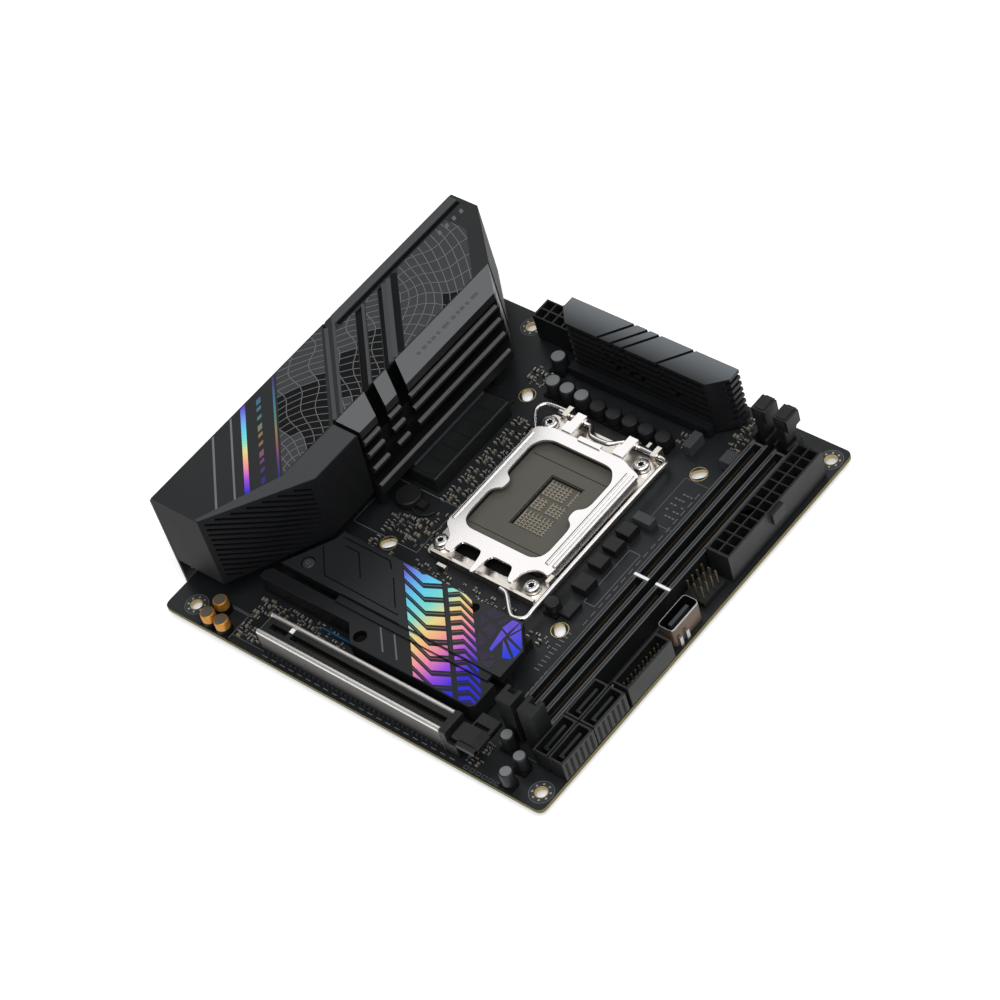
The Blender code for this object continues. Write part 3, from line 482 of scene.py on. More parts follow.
def evaluated_mesh(made):
    graph = bpy.context.evaluated_depsgraph_get()
    return bpy.data.meshes.new_from_object(made.evaluated_get(graph))


def carve(mesh, cutter):
    """Cut a Shape out of a mesh and return the result."""
    subject, tool = bpy.data.objects.new("subject", mesh), bpy.data.objects.new("tool", cutter.mesh("tool"))
    link(subject)
    link(tool)
    step = subject.modifiers.new("cut", "BOOLEAN")
    step.operation, step.solver, step.object, step.use_self = "DIFFERENCE", "EXACT", tool, True
    result = evaluated_mesh(subject)
    for item in (subject, tool):
        bpy.data.objects.remove(item)
    return result


def from_cad(node, finishes=(PLASTIC,), slot="black_plastic", bevel=0.15, pick=None, edit=None, cut=None,
             name=None):
    """A finished copy of a CAD node: softened edges, and finishes picked face by face."""
    mesh = frame["nodes"][node].data.copy()
    bm = bmesh.new()
    bm.from_mesh(mesh)
    bmesh.ops.remove_doubles(bm, verts=bm.verts, dist=2e-6)
    bmesh.ops.dissolve_limit(bm, angle_limit=radians(0.5), verts=bm.verts, edges=bm.edges)
    if edit:
        for vertex in bm.verts:
            vertex.co = at(*edit(back(vertex.co)))
    bm.to_mesh(mesh)
    bm.free()
    if cut:
        mesh = carve(mesh, cut)
    mesh.materials.clear()
    if pick:
        for face in mesh.polygons:
            face.material_index = pick(back(Vector(face.center)), face.normal)
    made = bpy.data.objects.new(name or node + "_shape", mesh)
    settle(made, finishes, slot, frame["nodes"][node]["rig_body"], bevel, replaces=(node,))


# ---------------------------------------------------------------- board

MOUNT_HOLES = [(10.16, 6.35), (165.1, 6.35), (165.1, 163.83), (33.02, 163.83)]
COOLER_HOLES = [(90.76 + sx * 38.25, 98.85 + sy * 38.25) for sx in (-1, 1) for sy in (-1, 1)]
COOLER_CLEARANCE = 4.6         # small parts stay this far from a cooler hole's middle
PRINT_TOP = 1.64


def make_board():
    def pick(c, n):
        if abs(n.z) > 0.9:
            return 0
        return 1 if min(c.x, c.y, SIDE - c.x, SIDE - c.y) < 1.5 else 2
    from_cad("circuit_board", [MASK, LAMINATE, PLATING], "board_mask", bevel=0.0, pick=pick,
             name="board_laminate")
    rings = Shape()
    for x, y in MOUNT_HOLES:
        for inner, outer, top, index in ((2.02, 2.3, 1.66, 1), (2.4, 3.9, PRINT_TOP, 0),
                                         (4.15, 4.35, PRINT_TOP, 2)):
            rings.washer(x, y, inner, outer, BOARD_TOP - 0.05, top, index)
            rings.washer(x, y, inner, outer, BOARD_TOP - top, 0.05, index)
        for spot_x, spot_y, _ in circle(x, y, 3.1, 0, 16)[1::2]:
            rings.turned(spot_x, spot_y, [(0.42, BOARD_TOP), (0.4, 1.68)], 3, 10)
    for x, y in COOLER_HOLES:
        rings.washer(x, y, 2.95, 3.2, BOARD_TOP - 0.05, PRINT_TOP, 1)
    rings.done("hole_rings", [RING_GREY, PLATING, SILK, SOLDER], "board_mask")


# (x range, y range, line width) of the printed frames
PRINTED_FRAMES = (((128.6, 133.2), (74.0, 99.0), 0.22), ((126.0, 136.6), (112.4, 133.6), 0.15),
                  ((34.6, 64.0), (62.2, 84.8), 0.22), ((20.0, 45.0), (3.0, 12.4), 0.15),
                  ((18.2, 30.2), (0.9, 11.8), 0.2), ((140.4, 157.8), (14.6, 163.4), 0.15))
# (number, first start, first end, step, line width) of the printed rows of dashes
PRINTED_DASHES = ((16, (134.6, 66.0), (134.6, 68.6), (0, 4.1), 0.3),
                  (16, (137.4, 64.0), (137.4, 65.2), (0, 4.1), 0.25),
                  (10, (131.4, 44.0), (133.6, 44.0), (0, 1.9), 0.35),
                  (10, (136.0, 22.0), (136.0, 23.4), (0, 2.4), 0.3),
                  (22, (46.0, 1.6), (48.2, 1.6), (4.0, 0), 0.3))


def make_silkscreen():
    """Outlines and dashes printed on the board. None of them is a letter."""
    silk = Shape()

    def line(points, width):
        silk.draw(points, width, BOARD_TOP - 0.02, BOARD_TOP + 0.03)
    for x, y, width in PRINTED_FRAMES:
        line(rectangle(x, y), width)
    for count, start, end, step, width in PRINTED_DASHES:
        for k in range(count):
            line([(x + k * step[0], y + k * step[1]) for x, y in (start, end)], width)
    for row in range(5):
        for column in range(4):
            if (row * 3 + column * 5) % 4:
                x, y = 128.2 + column * 1.5, 117.0 + row * 2.6
                line([(x, y), (x + 1.0, y)], 0.5)
    for k in range(7):
        x = 136.6 + k * 2.6
        line(rectangle((x, x + 1.6), (0.8, 2.0)), 0.12)
    silk.done("silkscreen", [SILK], "board_mask")


def small_part(shape, x, y, length, width, height, turn, body):
    """A surface-mount part: a body with a soldered cap at each end."""
    reach = length / 2
    for start, end, grow, index in ((-reach, -reach * 0.55, 0.06, 2), (-reach * 0.55, reach * 0.55, 0, body),
                                    (reach * 0.55, reach, 0.06, 2)):
        cx, cy = (start + end) / 2 * cos(turn), (start + end) / 2 * sin(turn)
        half, wide = (end - start) / 2, width / 2 + grow
        shape.box((x + cx - half, x + cx + half), (y + cy - wide, y + cy + wide),
                  (BOARD_TOP - 0.02, BOARD_TOP + height + grow), index, turn)


CHIP_SIZES = ((1.0, 0.5), (1.6, 0.8), (2.0, 1.25))


def scatter(name, region, count, tan_share):
    """Small parts on a loose grid inside a rectangle, none touching another."""
    shape = Shape()
    (x0, x1), (y0, y1) = region
    placed = []
    for _ in range(count * 12):
        if len(placed) >= count:
            break
        length, width = chance.choice(CHIP_SIZES)
        x, y = chance.uniform(x0, x1), chance.uniform(y0, y1)
        turn = chance.choice((0.0, pi / 2))
        if any(hypot(x - px, y - py) < (length + pl) / 2 + 0.35 for px, py, pl in placed):
            continue
        if any(hypot(x - px, y - py) < COOLER_CLEARANCE for px, py in COOLER_HOLES):
            continue
        placed.append((x, y, length))
        small_part(shape, x, y, length, width, width * 0.8, turn, 0 if chance.random() < tan_share else 1)
    shape.done(name, [TAN_CHIP, DARK_CHIP, SOLDER], "chip")


# (name, x range, y range, number, share of tan parts); the order is the order of random draws
CHIP_FIELDS = (("audio", (30.5, 44.0), (4.0, 21.5), 46, 0.45), ("bay", (46.5, 70.0), (14.2, 21.6), 34, 0.5),
               ("tower_foot", (46.0, 57.0), (54.6, 73.5), 34, 0.35),
               ("socket_front", (66.0, 112.0), (53.4, 60.0), 46, 0.3),
               ("socket_left", (56.0, 66.0), (64.0, 80.0), 18, 0.4),
               ("corner", (134.8, 141.4), (3.6, 13.6), 16, 0.4),
               ("top_right", (113.6, 118.0), (143.6, 149.6), 9, 0.6),
               ("latch", (130.0, 136.0), (148.6, 166.0), 20, 0.6), ("eps", (47.0, 55.0), (142.0, 150.0), 14, 0.5),
               ("slots", (119.6, 131.4), (51.8, 55.6), 7, 0.4))
# (x range, y range, top, finish) of the inductors and chips
BLOCKS = (((122.4, 128.8), (75.6, 82.0), 5.4, 0), ((121.0, 127.0), (86.0, 91.6), 5.0, 0),
          ((121.0, 127.0), (94.0, 99.6), 5.0, 0), ((121.0, 127.0), (101.4, 107.0), 5.0, 0),
          ((125.1, 129.7), (65.1, 72.1), 3.6, 0), ((122.6, 130.2), (108.8, 112.6), 5.0, 1),
          ((118.8, 122.4), (142.0, 149.6), 6.4, 1), ((134.2, 139.0), (142.6, 148.2), 6.4, 1),
          ((45.8, 50.4), (128.4, 132.6), 2.7, 0), ((58.6, 63.4), (121.0, 126.0), 2.5, 0),
          ((33.4, 38.6), (9.2, 14.4), 2.6, 0))


def make_small_parts():
    for name, x, y, count, tan_share in CHIP_FIELDS:
        scatter("small_parts_" + name, (x, y), count, tan_share)
    rows = Shape()
    for k in range(9):
        y = 85.2 + k * 4.9
        for x, long, wide, kind in ((57.0, 2.0, 1.25, 1), (59.4, 1.6, 0.8, 0), (62.4, 2.0, 1.25, 1),
                                    (65.0, 1.6, 0.8, 0)):
            small_part(rows, x, y + (x % 1.0) * 1.6, long, wide, 1.1, pi / 2, kind)
            if (k + int(x)) % 2:
                small_part(rows, x + 0.5, y + 2.6, 1.6, 0.8, 0.7, 0.0, kind)
    rows.done("small_parts_choke_rows", [TAN_CHIP, DARK_CHIP, SOLDER], "chip")
    blocks = Shape()
    for x, y, top, index in BLOCKS:
        blocks.box(x, y, (BOARD_TOP, top), index)
    blocks.done("inductors_and_chips", [EPOXY, FERRITE], "chip", bevel=0.25)
    sockets = Shape()
    sockets.box((57.2, 70.4), (19.7, 20.5), (BOARD_TOP, 3.2))
    sockets.box((57.8, 69.8), (20.7, 21.6), (BOARD_TOP, 2.6), 1)
    sockets.done("flat_cable_socket", [CABLE_BLUE, PLASTIC], "black_plastic", bevel=0.1)


GREY_CANS = (3.0, 8.6, ((55.8, 152.8), (61.4, 142.8), (68.2, 142.4), (74.9, 142.2)))
DARK_CANS = (3.0, 6.9, ((81.6, 142.3), (88.8, 142.1), (96.1, 142.1), (103.4, 141.9), (110.8, 141.9)))
CAN_STEPS = 28


def can(shape, x, y, radius, top):
    """A can capacitor on its square base, with a rolled rim and a flat top."""
    half = radius + 0.25
    corner = half * 0.45
    shape.slab([(x - half, y - half), (x + half, y - half), (x + half, y + corner), (x + corner, y + half),
                (x - corner, y + half), (x - half, y + corner)], BOARD_TOP, BOARD_TOP + 0.9, 2)
    shape.turned(x, y, [(radius - 0.3, BOARD_TOP + 0.9), (radius - 0.3, 3.0), (radius, 3.3),
                        (radius, top - 0.6), (radius - 0.12, top - 0.25), (radius - 0.45, top - 0.06)], 0, CAN_STEPS)
    shape.turned(x, y, [(radius - 0.5, top - 0.3), (radius - 0.5, top - 0.02), (radius - 0.62, top)],
                 1, CAN_STEPS)


def make_capacitors():
    grey, dark = Shape(), Shape()
    for shape, (radius, top, places) in ((grey, GREY_CANS), (dark, DARK_CANS)):
        for x, y in places:
            can(shape, x, y, radius, top)
    can(dark, 122.6, 66.0, 2.6, 7.0)
    grey.done("capacitors_grey", [SLEEVE_DARK, CAN_TOP, BLACK], "capacitor_steel", smooth=35)
    dark.done("capacitors_dark", [CAN_BLACK, EPOXY, BLACK], "capacitor_steel", smooth=35)
    for family, radius, top, looks, slot in (
            ("audio", 2.65, 8.0, [SLEEVE_GOLD, CAN_BROWN, BLACK], "capacitor_gold"),
            ("corner", 2.45, 9.0, [SLEEVE_DARK, CAN_TOP, BLACK], "capacitor_steel")):
        for k in range(1, 4):
            node = f"{family}_capacitor_{k}"
            shape = Shape()
            can(shape, *node_middle(node), radius, top)
            if family == "audio":
                band = radius + 0.04, radius + 0.08
                shape.turned(*node_middle(node), [(band[0], 2.2), (band[1], 2.6), (band[1], 4.3), (band[0], 4.4)],
                             2, CAN_STEPS)
            shape.done(node + "_can", looks, slot, smooth=35, replaces=(node,))


# ---------------------------------------------------------------- processor socket

WELL_BOTTOM = 2.98


def make_socket():
    from_cad("cpu_socket", [HOUSING, FIELD], "socket_plastic", bevel=0.12,
             pick=lambda c, n: 1 if n.z > 0.9 and c.z < 4.6 else 0)
    well = Shape()
    for column in range(8):
        x = 87.3 + column * 1.62
        for y0, y1 in ((87.8, 95.2), (96.4, 101.6), (102.8, 109.6)):
            if (column, y0) in ((3, 96.4), (6, 102.8)):
                continue
            well.box((x, x + 0.34), (y0, y1), (WELL_BOTTOM, 3.5))
            for k in range(int((y1 - y0) / 1.25)):
                y = y0 + 0.2 + k * 1.25
                well.box((x + 0.3, x + 1.15), (y, y + 0.5), (WELL_BOTTOM, 3.4))
    well.done("socket_well_parts", [PALE_CONTACT], "socket_plastic")
    seams = Shape()
    for start, end, width in (((73.6, 115.6), (108.2, 115.6), 0.25), ((86.2, 86.6), (86.2, 110.6), 0.35),
                              ((86.2, 110.6), (100.6, 110.6), 0.35), ((73.6, 80.6), (108.2, 80.6), 0.2)):
        seams.draw([start, end], width, 4.35, 4.46)
    seams.done("socket_seams", [BLACK], "socket_plastic")


SHAFT_Y, SHAFT_Z = 134.6, 5.2
BOSS_TURNS = [radians(160 - 11.9 * k) for k in range(9)]
SCREW_BOSS = [(112.4 + 6.0 * cos(turn), 67.6 + 6.0 * sin(turn)) for turn in BOSS_TURNS]
PLATE_EDGE = [(69, 74.5), (73.0, 71.6), (74.6, 69.6), (75.6, 65.0), (79.0, 64.8), (79.6, 70.7), (88.4, 70.7),
              (89.4, 66.4), (89.7, 61.6), (91.7, 61.6), (92.1, 66.4), (92.8, 70.6), (102.2, 70.6), (103.6, 66.4),
              (104.2, 64.6), (106.4, 64.8), *SCREW_BOSS, (115.8, 74.6), (115.8, 123.0), (111.0, 124.2),
              (107.0, 126.0), (75.0, 126.0), (69.6, 123.6), (69, 122.0)]
PLATE_WINDOW = [(77.5, 76.5), (105.0, 76.5), (108.0, 78.5), (109.0, 81.5), (109.0, 92.0), (108.2, 94.5),
                (105.4, 96.0), (105.4, 100.4), (108.2, 102.0), (109.0, 104.5), (109.0, 116.0), (106.0, 120.3),
                (103.0, 121.2), (79.0, 121.2), (75.0, 119.4), (73.2, 116.0), (73.2, 103.5), (74.2, 101.6),
                (77.0, 100.4), (77.0, 96.0), (74.2, 94.6), (73.2, 92.6), (73.2, 81.5), (74.4, 78.4)]
PLATE_BOTTOM = 7.9             # where ribs and knuckles start, just inside the plate


def make_clamp():
    from_cad("ilm_frame", [ROLLED], "bright_steel", bevel=0.2)
    sheet, opening, plate = Shape(), Shape(), Shape()
    sheet.slab(rounded_outline(PLATE_EDGE), 7.0, 8.0)
    opening.slab(rounded_outline(PLATE_WINDOW), 6.0, 9.0)
    plate.bm.from_mesh(carve(sheet.mesh("sheet"), opening))
    for x in ((69.2, 70.2), (114.6, 115.6)):
        plate.box(x, (76.0, 121.5), (4.6, 7.6))
    for x in ((78.6, 82.6), (101.4, 105.4)):
        plate.box(x, (124.0, 135.8), (7.1, 7.9))
    plate.done("load_plate_sheet", [STEEL], "bright_steel", "ilm_load_plate", bevel=0.12,
               replaces=("ilm_load_plate",))
    # Painted shade: black sheets in the frame's two recesses in front of the plate.
    recesses = Shape()
    for x in ((75.6, 87.2), (88.8, 101.2)):
        recesses.slab(rounded_outline(rectangle(x, (68.3, 73.0))[:4]), 3.3, 3.46)
    recesses.done("frame_recesses", [BLACK], "bright_steel")
    ribs = Shape()
    for x, wide, top, end in ((111.9, 1.0, 8.55, 121.6), (114.9, 0.9, 8.7, 121.6), (70.2, 0.8, 8.4, 120.8)):
        shoulder = wide * 0.7, PLATE_BOTTOM + (top - PLATE_BOTTOM) * 0.7
        profile = [(-wide, PLATE_BOTTOM), (-shoulder[0], shoulder[1]), (0, top), shoulder, (wide, PLATE_BOTTOM),
                   (0, PLATE_BOTTOM - 0.1)]
        ribs.loft([[(x + dx, y, z) for dx, z in profile] for y in (77.0, end)])
    ribs.done("load_plate_ribs", [STEEL], "bright_steel", "ilm_load_plate", smooth=50)
    knuckles = Shape()
    turns = [radians(-30 + 24 * k) for k in range(9)]
    roll = [(SHAFT_Y + radius * cos(turn), SHAFT_Z + radius * sin(turn))
            for radius, way in ((1.95, turns), (1.15, turns[::-1])) for turn in way]
    for x in ((78.2, 83.0), (101.0, 105.8)):
        knuckles.loft([[(end, y, min(z, 7.05)) for y, z in roll] for end in x])
        knuckles.box(x, (126.4, 130.6), (7.95, 8.5))
    knuckles.box((86.6, 96.4), (125.2, 127.0), (PLATE_BOTTOM, 8.6))
    knuckles.done("load_plate_knuckles", [STEEL], "bright_steel", "ilm_load_plate", smooth=40)
    for k in range(1, 5):
        make_frame_screw(f"ilm_screw_{k}")
    clips = Shape()
    for x, y, top in (((75.2, 79.2), (60.2, 61.6), 4.2), ((107.2, 108.6), (136.2, 138.6), 5.0),
                      ((71.4, 73.0), (134.4, 137.6), 4.6)):
        clips.box(x, y, (BOARD_TOP, top))
    clips.done("socket_small_clips", [ROLLED], "bright_steel", bevel=0.15)
    wire("frame_wire_end", [(71.6, 135.9, 5.2), (66.4, 135.7, 5.2), (63.6, 135.0, 5.2), (62.4, 133.0, 5.2),
                            (62.4, 130.8, 5.2), (65.6, 126.6, 5.4), (68.2, 124.0, 5.6)],
         0.7, STEEL, "bright_steel")


def make_frame_screw(node):
    """A round screw head; its star recess is a black star of painted shade."""
    x, y = node_middle(node)
    top = node_box(node)[1].z
    head = Shape()
    section = (2.95, 2.2), (3.0, 1.2), (2.7, 0.45), (2.1, 0.1), (1.6, 0.02), (1.45, 0.5), (0.5, 0.55)
    head.turned(x, y, [(radius, top - drop) for radius, drop in section], 0, 36)
    # Painted shade: a black star stands for the recess.
    star = [(x + reach * cos(pi / 6 * k + 0.3), y + reach * sin(pi / 6 * k + 0.3))
            for k, reach in enumerate((1.3, 0.85) * 6)]
    head.slab(star, top - 0.7, top - 0.4, 1)
    head.done(node + "_head", [STEEL, BLACK], "bright_steel", smooth=35, replaces=(node,))


def rounded_path(points, passes=3):
    """Cut the corners of a path again and again, keeping its ends."""
    for _ in range(passes):
        smooth = [points[0]]
        for a, b in zip(points, points[1:]):
            smooth.append(a * 0.75 + b * 0.25)
            smooth.append(a * 0.25 + b * 0.75)
        points = smooth + [points[-1]]
    return points


def wire(name, route, radius, look, slot, body="board", replaces=()):
    curve = bpy.data.curves.new(name, "CURVE")
    curve.dimensions = "3D"
    curve.bevel_depth = radius * MM
    curve.bevel_resolution = 5
    curve.use_fill_caps = True
    path = rounded_path([at(*spot) for spot in route])
    spline = curve.splines.new("POLY")
    spline.points.add(len(path) - 1)
    for point, spot in zip(spline.points, path):
        point.co = (*spot, 1)
    guide = bpy.data.objects.new(name + "_guide", curve)
    link(guide)
    mesh = evaluated_mesh(guide)
    bpy.data.objects.remove(guide)
    settle(bpy.data.objects.new(name, mesh), [look], slot, body, smooth=60, replaces=replaces)


def make_lever():
    arm_x, arm_z = 118.8, 6.4
    route = [(70.5, SHAFT_Y, SHAFT_Z), (84.5, SHAFT_Y, SHAFT_Z), (86.0, 133.2, 5.7),
             (88.0, 130.2, 6.8), (89.6, 129.4, 7.0), (95.6, 129.4, 7.0), (97.2, 130.2, 6.8),
             (99.2, 133.2, 5.7), (100.4, SHAFT_Y, SHAFT_Z), (116.4, SHAFT_Y, SHAFT_Z), (118.0, 134.0, 5.4),
             (arm_x, 132.6, 5.7)]
    route += [(x, y, arm_z) for x, y in (
        (arm_x, 128.0), (arm_x, 60.0), (119.4, 57.4), (118.4, 55.4), (115.0, 54.2), (113.0, 55.2), (107.4, 60.6),
        (105.6, 61.6), (103.4, 61.8))]
    wire("clamp_lever", route, 0.95, STEEL, "bright_steel", "ilm_lever", ("ilm_lever",))


# ---------------------------------------------------------------- slots and plugs

MEMORY_MIDDLES = (144.8, 153.8)
POWER_PITCH = 4.2
# (middle x, middle y, columns, rows, pin top) of the two power plugs' pins
POWER_PLUGS = ((163.4, 131.3, 2, 12, 10.4), (47.8, 165.0, 4, 2, 10.0))


def power_pins():
    for x, y, columns, rows, top in POWER_PLUGS:
        for i in range(columns):
            for k in range(rows):
                yield x + (i - (columns - 1) / 2) * POWER_PITCH, y + (k - (rows - 1) / 2) * POWER_PITCH, top


def make_memory_slots():
    for name, middle in zip("ab", MEMORY_MIDDLES):
        from_cad("dimm_slot_" + name, [PLASTIC, RAIL], bevel=0.22,
                 pick=lambda c, n: 1 if n.z > 0.9 and 9.9 < c.z < 10.1 else 0)
        from_cad("dimm_latch_" + name, bevel=0.35)
        contacts = Shape()
        pitch = 0.85
        for y0, y1 in ((26.0, 86.0), (88.8, 151.6)):
            for k in range(int((y1 - y0) / pitch)):
                y = y0 + (k + 0.5) * pitch
                for x in (middle - 1.35, middle + 1.35):
                    contacts.box((x - 0.14, x + 0.14), (y - pitch * 0.28, y + pitch * 0.28), (3.4, 7.2))
        contacts.done("memory_contacts_" + name, [DIM_CONTACT], "antenna_brass")
        marks = Shape()
        marks.box((middle - 3.0, middle + 3.0), (86.9, 87.9), (9.9, 10.12))
        for x in (middle - 2.35, middle + 2.35):
            for y in ((26.4, 86.0), (88.8, 151.0)):
                marks.box((x - 0.16, x + 0.16), y, (9.98, 10.05), 1)
        marks.done("memory_rail_marks_" + name, [WHITE_KEY, BLACK], "black_plastic")


def make_expansion_slot():
    from_cad("pcie_slot", bevel=0.2)
    armour = Shape()
    for outer, side in ((3.0, 1), (12.5, -1)):
        profile = [(0.0, 1.9), (0.0, 11.7), (0.12, 12.35), (0.5, 12.8), (1.0, 12.9), (1.5, 12.72), (1.75, 12.2),
                   (1.75, 11.3), (1.35, 11.3), (1.2, 11.8), (0.6, 11.8), (0.45, 11.4), (0.45, 1.9)]
        for face in armour.loft([[(x, outer + side * dy, z) for dy, z in profile] for x in (45.5, 127.1)]):
            heights = [back(v.co).z for v in face.verts]
            # The tall walls take the painted-shade copy of the steel.
            if max(heights) < 11.9 and min(heights) < 2.0:
                face.material_index = 1
        for k in range(37):
            x = 47.6 + k * 2.1
            armour.box((x, x + 0.9), sorted((outer, outer - side * 0.55)), (BOARD_TOP, 2.9), 2)
    for x in (45.2, 127.1):
        armour.box((x, x + 0.3), (3.2, 12.3), (1.9, 11.6), 1)
    armour.done("slot_armour", [RAIL_STEEL, SHADED_WALL_STEEL, RING_GREY], "bright_steel", smooth=40,
                replaces=("pcie_armour",))
    from_cad("pcie_latch", bevel=0.25)
    inner = Shape()
    for x0, x1 in ((48.6, 55.2), (58.0, 126.0)):
        for k in range(int(x1 - x0)):
            x = x0 + k + 0.5
            for y in (6.95, 8.55):
                inner.box((x - 0.3, x + 0.3), (y - 0.14, y + 0.14), (4.2, 8.8))
    inner.done("expansion_contacts", [DIM_CONTACT], "antenna_brass")
    mark = Shape()
    mark.box((55.7, 57.3), (8.8, 10.6), (11.98, 12.3))
    mark.done("expansion_key_mark", [WHITE_KEY], "black_plastic")


def make_plugs():
    from_cad("atx_power_header", bevel=0.2)
    from_cad("eps_power_header", bevel=0.2)
    pins = Shape()
    for x, y, top in power_pins():
        pins.turned(x, y, [(0.62, 4.2), (0.62, top - 0.8), (0.3, top)], 0, 8)
    pins.done("power_pins", [PIN_TIN], "port_steel")
    edge = Shape()
    edge.box((158.75, 159.05), (105.6, 157.0), (13.95, 14.1))
    edge.done("power_header_edge", [RIDGE], "black_plastic")
    for k in range(1, 5):
        make_drive_port(f"sata_port_{k}")
    from_cad("usb3_header")
    from_cad("front_panel_header", [PLASTIC, DIM_CONTACT], bevel=0.08, pick=lambda c, n: 1 if c.z > 4.45 else 0)
    front = Shape()
    for k in range(10):
        y = 50.6 + k * 2.0
        for x in (165.7, 167.7):
            front.box((x - 0.25, x + 0.25), (y - 0.25, y + 0.25), (3.5, 8.4))
    for k in range(9):
        front.box((160.6, 161.0), (49.4 + k * 2.4, 50.6 + k * 2.4), (BOARD_TOP, 4.6), 1)
    front.box((158.4, 161.6), (48.4, 71.4), (BOARD_TOP, 3.6), 2)
    for y in (75.2, 78.6):
        front.box((168.3, 169.3), (y, y + 1.4), (BOARD_TOP, 6.0), 3)
    front.done("front_header_details", [DIM_CONTACT, SOLDER, PLASTIC, PORT_STEEL], "port_steel")
    make_reversible_header()


def make_drive_port(node):
    from_cad(node, bevel=0.18)
    low, high = node_box(node)
    fingers = Shape()
    for k in range(7):
        y = low.y + 4.2 + k * 1.27
        fingers.box((low.x + 2.18, low.x + 2.42), (y, y + 0.7), (3.4, 9.0))
    fingers.done(node + "_fingers", [DIM_CONTACT], "antenna_brass")
    trim = Shape()
    near, far, front, end = low.x + 0.42, high.x - 0.42, low.y + 0.5, high.y - 0.5
    trim.draw([(near, front), (far, front), (far, end - 0.9), (high.x - 1.3, end), (near, end), (near, front)],
              0.24, 10.38, 10.46)
    if high.x > 168:
        for k in range(6):
            y = low.y + 1.2 + k * 2.5
            trim.box((high.x - 0.3, high.x + 0.05), (y, y + 1.1), (2.4, 9.2), 1)
    trim.done(node + "_lip", [RING_GREY, BLACK], "black_plastic")


def make_reversible_header():
    """The small metal-shelled front-panel header."""
    low, high = node_box("usb_c_header")
    middle = node_middle("usb_c_header")
    corner = 1.5

    def loop(inset, z):
        """The shell's rounded outline, drawn in by inset."""
        points = []
        for x, y, start in ((high.x - corner, high.y - corner, 0), (low.x + corner, high.y - corner, 90),
                            (low.x + corner, low.y + corner, 180), (high.x - corner, low.y + corner, 270)):
            for step in range(5):
                turn = radians(start + step * 22.5)
                points.append((x + (corner - inset) * cos(turn), y + (corner - inset) * sin(turn), z))
        return points
    shell = Shape()
    # The shell's inner walls and floor are drawn deep black: painted shade inside the opening.
    levels = ((0.0, low.z + 0.1, 1), (0.0, high.z - 0.5, 0), (0.1, high.z, 0), (0.34, high.z - 0.06, 2),
              (0.4, high.z - 0.6, 2), (0.4, low.z + 1.4, 2))
    for (inset, z, index), (next_inset, next_z, _) in zip(levels, levels[1:]):
        shell.loft([loop(inset, z), loop(next_inset, next_z)], index, closed=False)
    shell.loft([loop(0.5, low.z + 1.3), loop(0.5, low.z + 1.5)], 2)
    shell.box((middle[0] - 0.7, middle[0] + 0.7), (low.y + 2.6, high.y - 2.6), (low.z + 1.4, high.z - 1.2), 3)
    shell.weld()
    shell.done("reversible_header", [PORT_STEEL, BRONZE, BLACK, RING_GREY], "port_steel", smooth=35,
               replaces=("usb_c_header",))


# ---------------------------------------------------------------- tower

def sunk_top(point):
    """Lower a cover's top a little, so that its raised details end at the real height."""
    return (point.x, point.y, point.z - TOP_STEP) if point.z > TOWER_TOP - 0.05 else tuple(point)


def tower_pick(c, n):
    return 1 if n.z > 0.9 and c.z > TOWER_TOP - 1.5 else 0


SINK_FACE = 33.3               # where the covers end and the tall heatsink starts


def moved_channels(shifts):
    """Slide the slanted channels' walls, each known by its x + y, by a distance that changes along x."""
    def edit(point):
        for total, start, slope in shifts:
            if point.z > 29.9 and abs(point.x + point.y - total) < 0.05:
                return (point.x, point.y + start + slope * (point.x - SINK_FACE), point.z)
        return tuple(point)
    return edit


COVER_CHANNELS = moved_channels([(120.1, -1.5, 0), (125.1, -3.5, 0), (129.5, 1.2, 0), (134.5, -2.0, 0)])
SINK_CHANNELS = moved_channels([(120.1, -1.0, 0.43), (125.1, -1.0, 0.43), (129.5, 1.2, 0.38),
                                (134.5, 1.2, 0.38)])
FIN_TOPS = (38.2, 31.8, 24.6, 16.0)
FIN_RUNS = ((71.6, 79.4), (84.6, 90.4), (95.6, 142.6))
FIN_EDGE = ((43.3, 0.0), (43.3, 0.05), (44.25, 0.06), (44.47, -0.12), (44.5, -0.6), (44.38, -0.6))
PLAIN_TOP = TOWER_TOP - TOP_STEP
PRINT_FOOT = PLAIN_TOP - 0.05  # where raised details start, just inside the covers


def make_tower():
    from_cad("io_cover_front", [WALL, COVER], "anodised", bevel=0.3, pick=tower_pick, edit=sunk_top)
    groove = Shape()
    groove.box((2.8, 4.4), (106.0, 172.2), (42.9, 46.0))
    groove.slab([(17.2, 158.0), (30.0, 146.6), (30.0, 148.0), (17.2, 159.4)], 43.2, 46.0)
    # Upward faces below the plain top, the floors of the slanted channels and the cut grooves, get painted shade in
    # deep black.
    from_cad("io_cover_rear", [WALL, COVER, BLACK], "cover_grey", bevel=0.25, cut=groove,
             pick=lambda c, n: 2 if n.z > 0.9 and 42.0 < c.z < PLAIN_TOP - 0.1 else tower_pick(c, n),
             edit=lambda point: sunk_top(Vector(COVER_CHANNELS(point))))
    make_tall_heatsink()
    make_tower_trim()
    make_tower_stripes()
    make_tower_net()


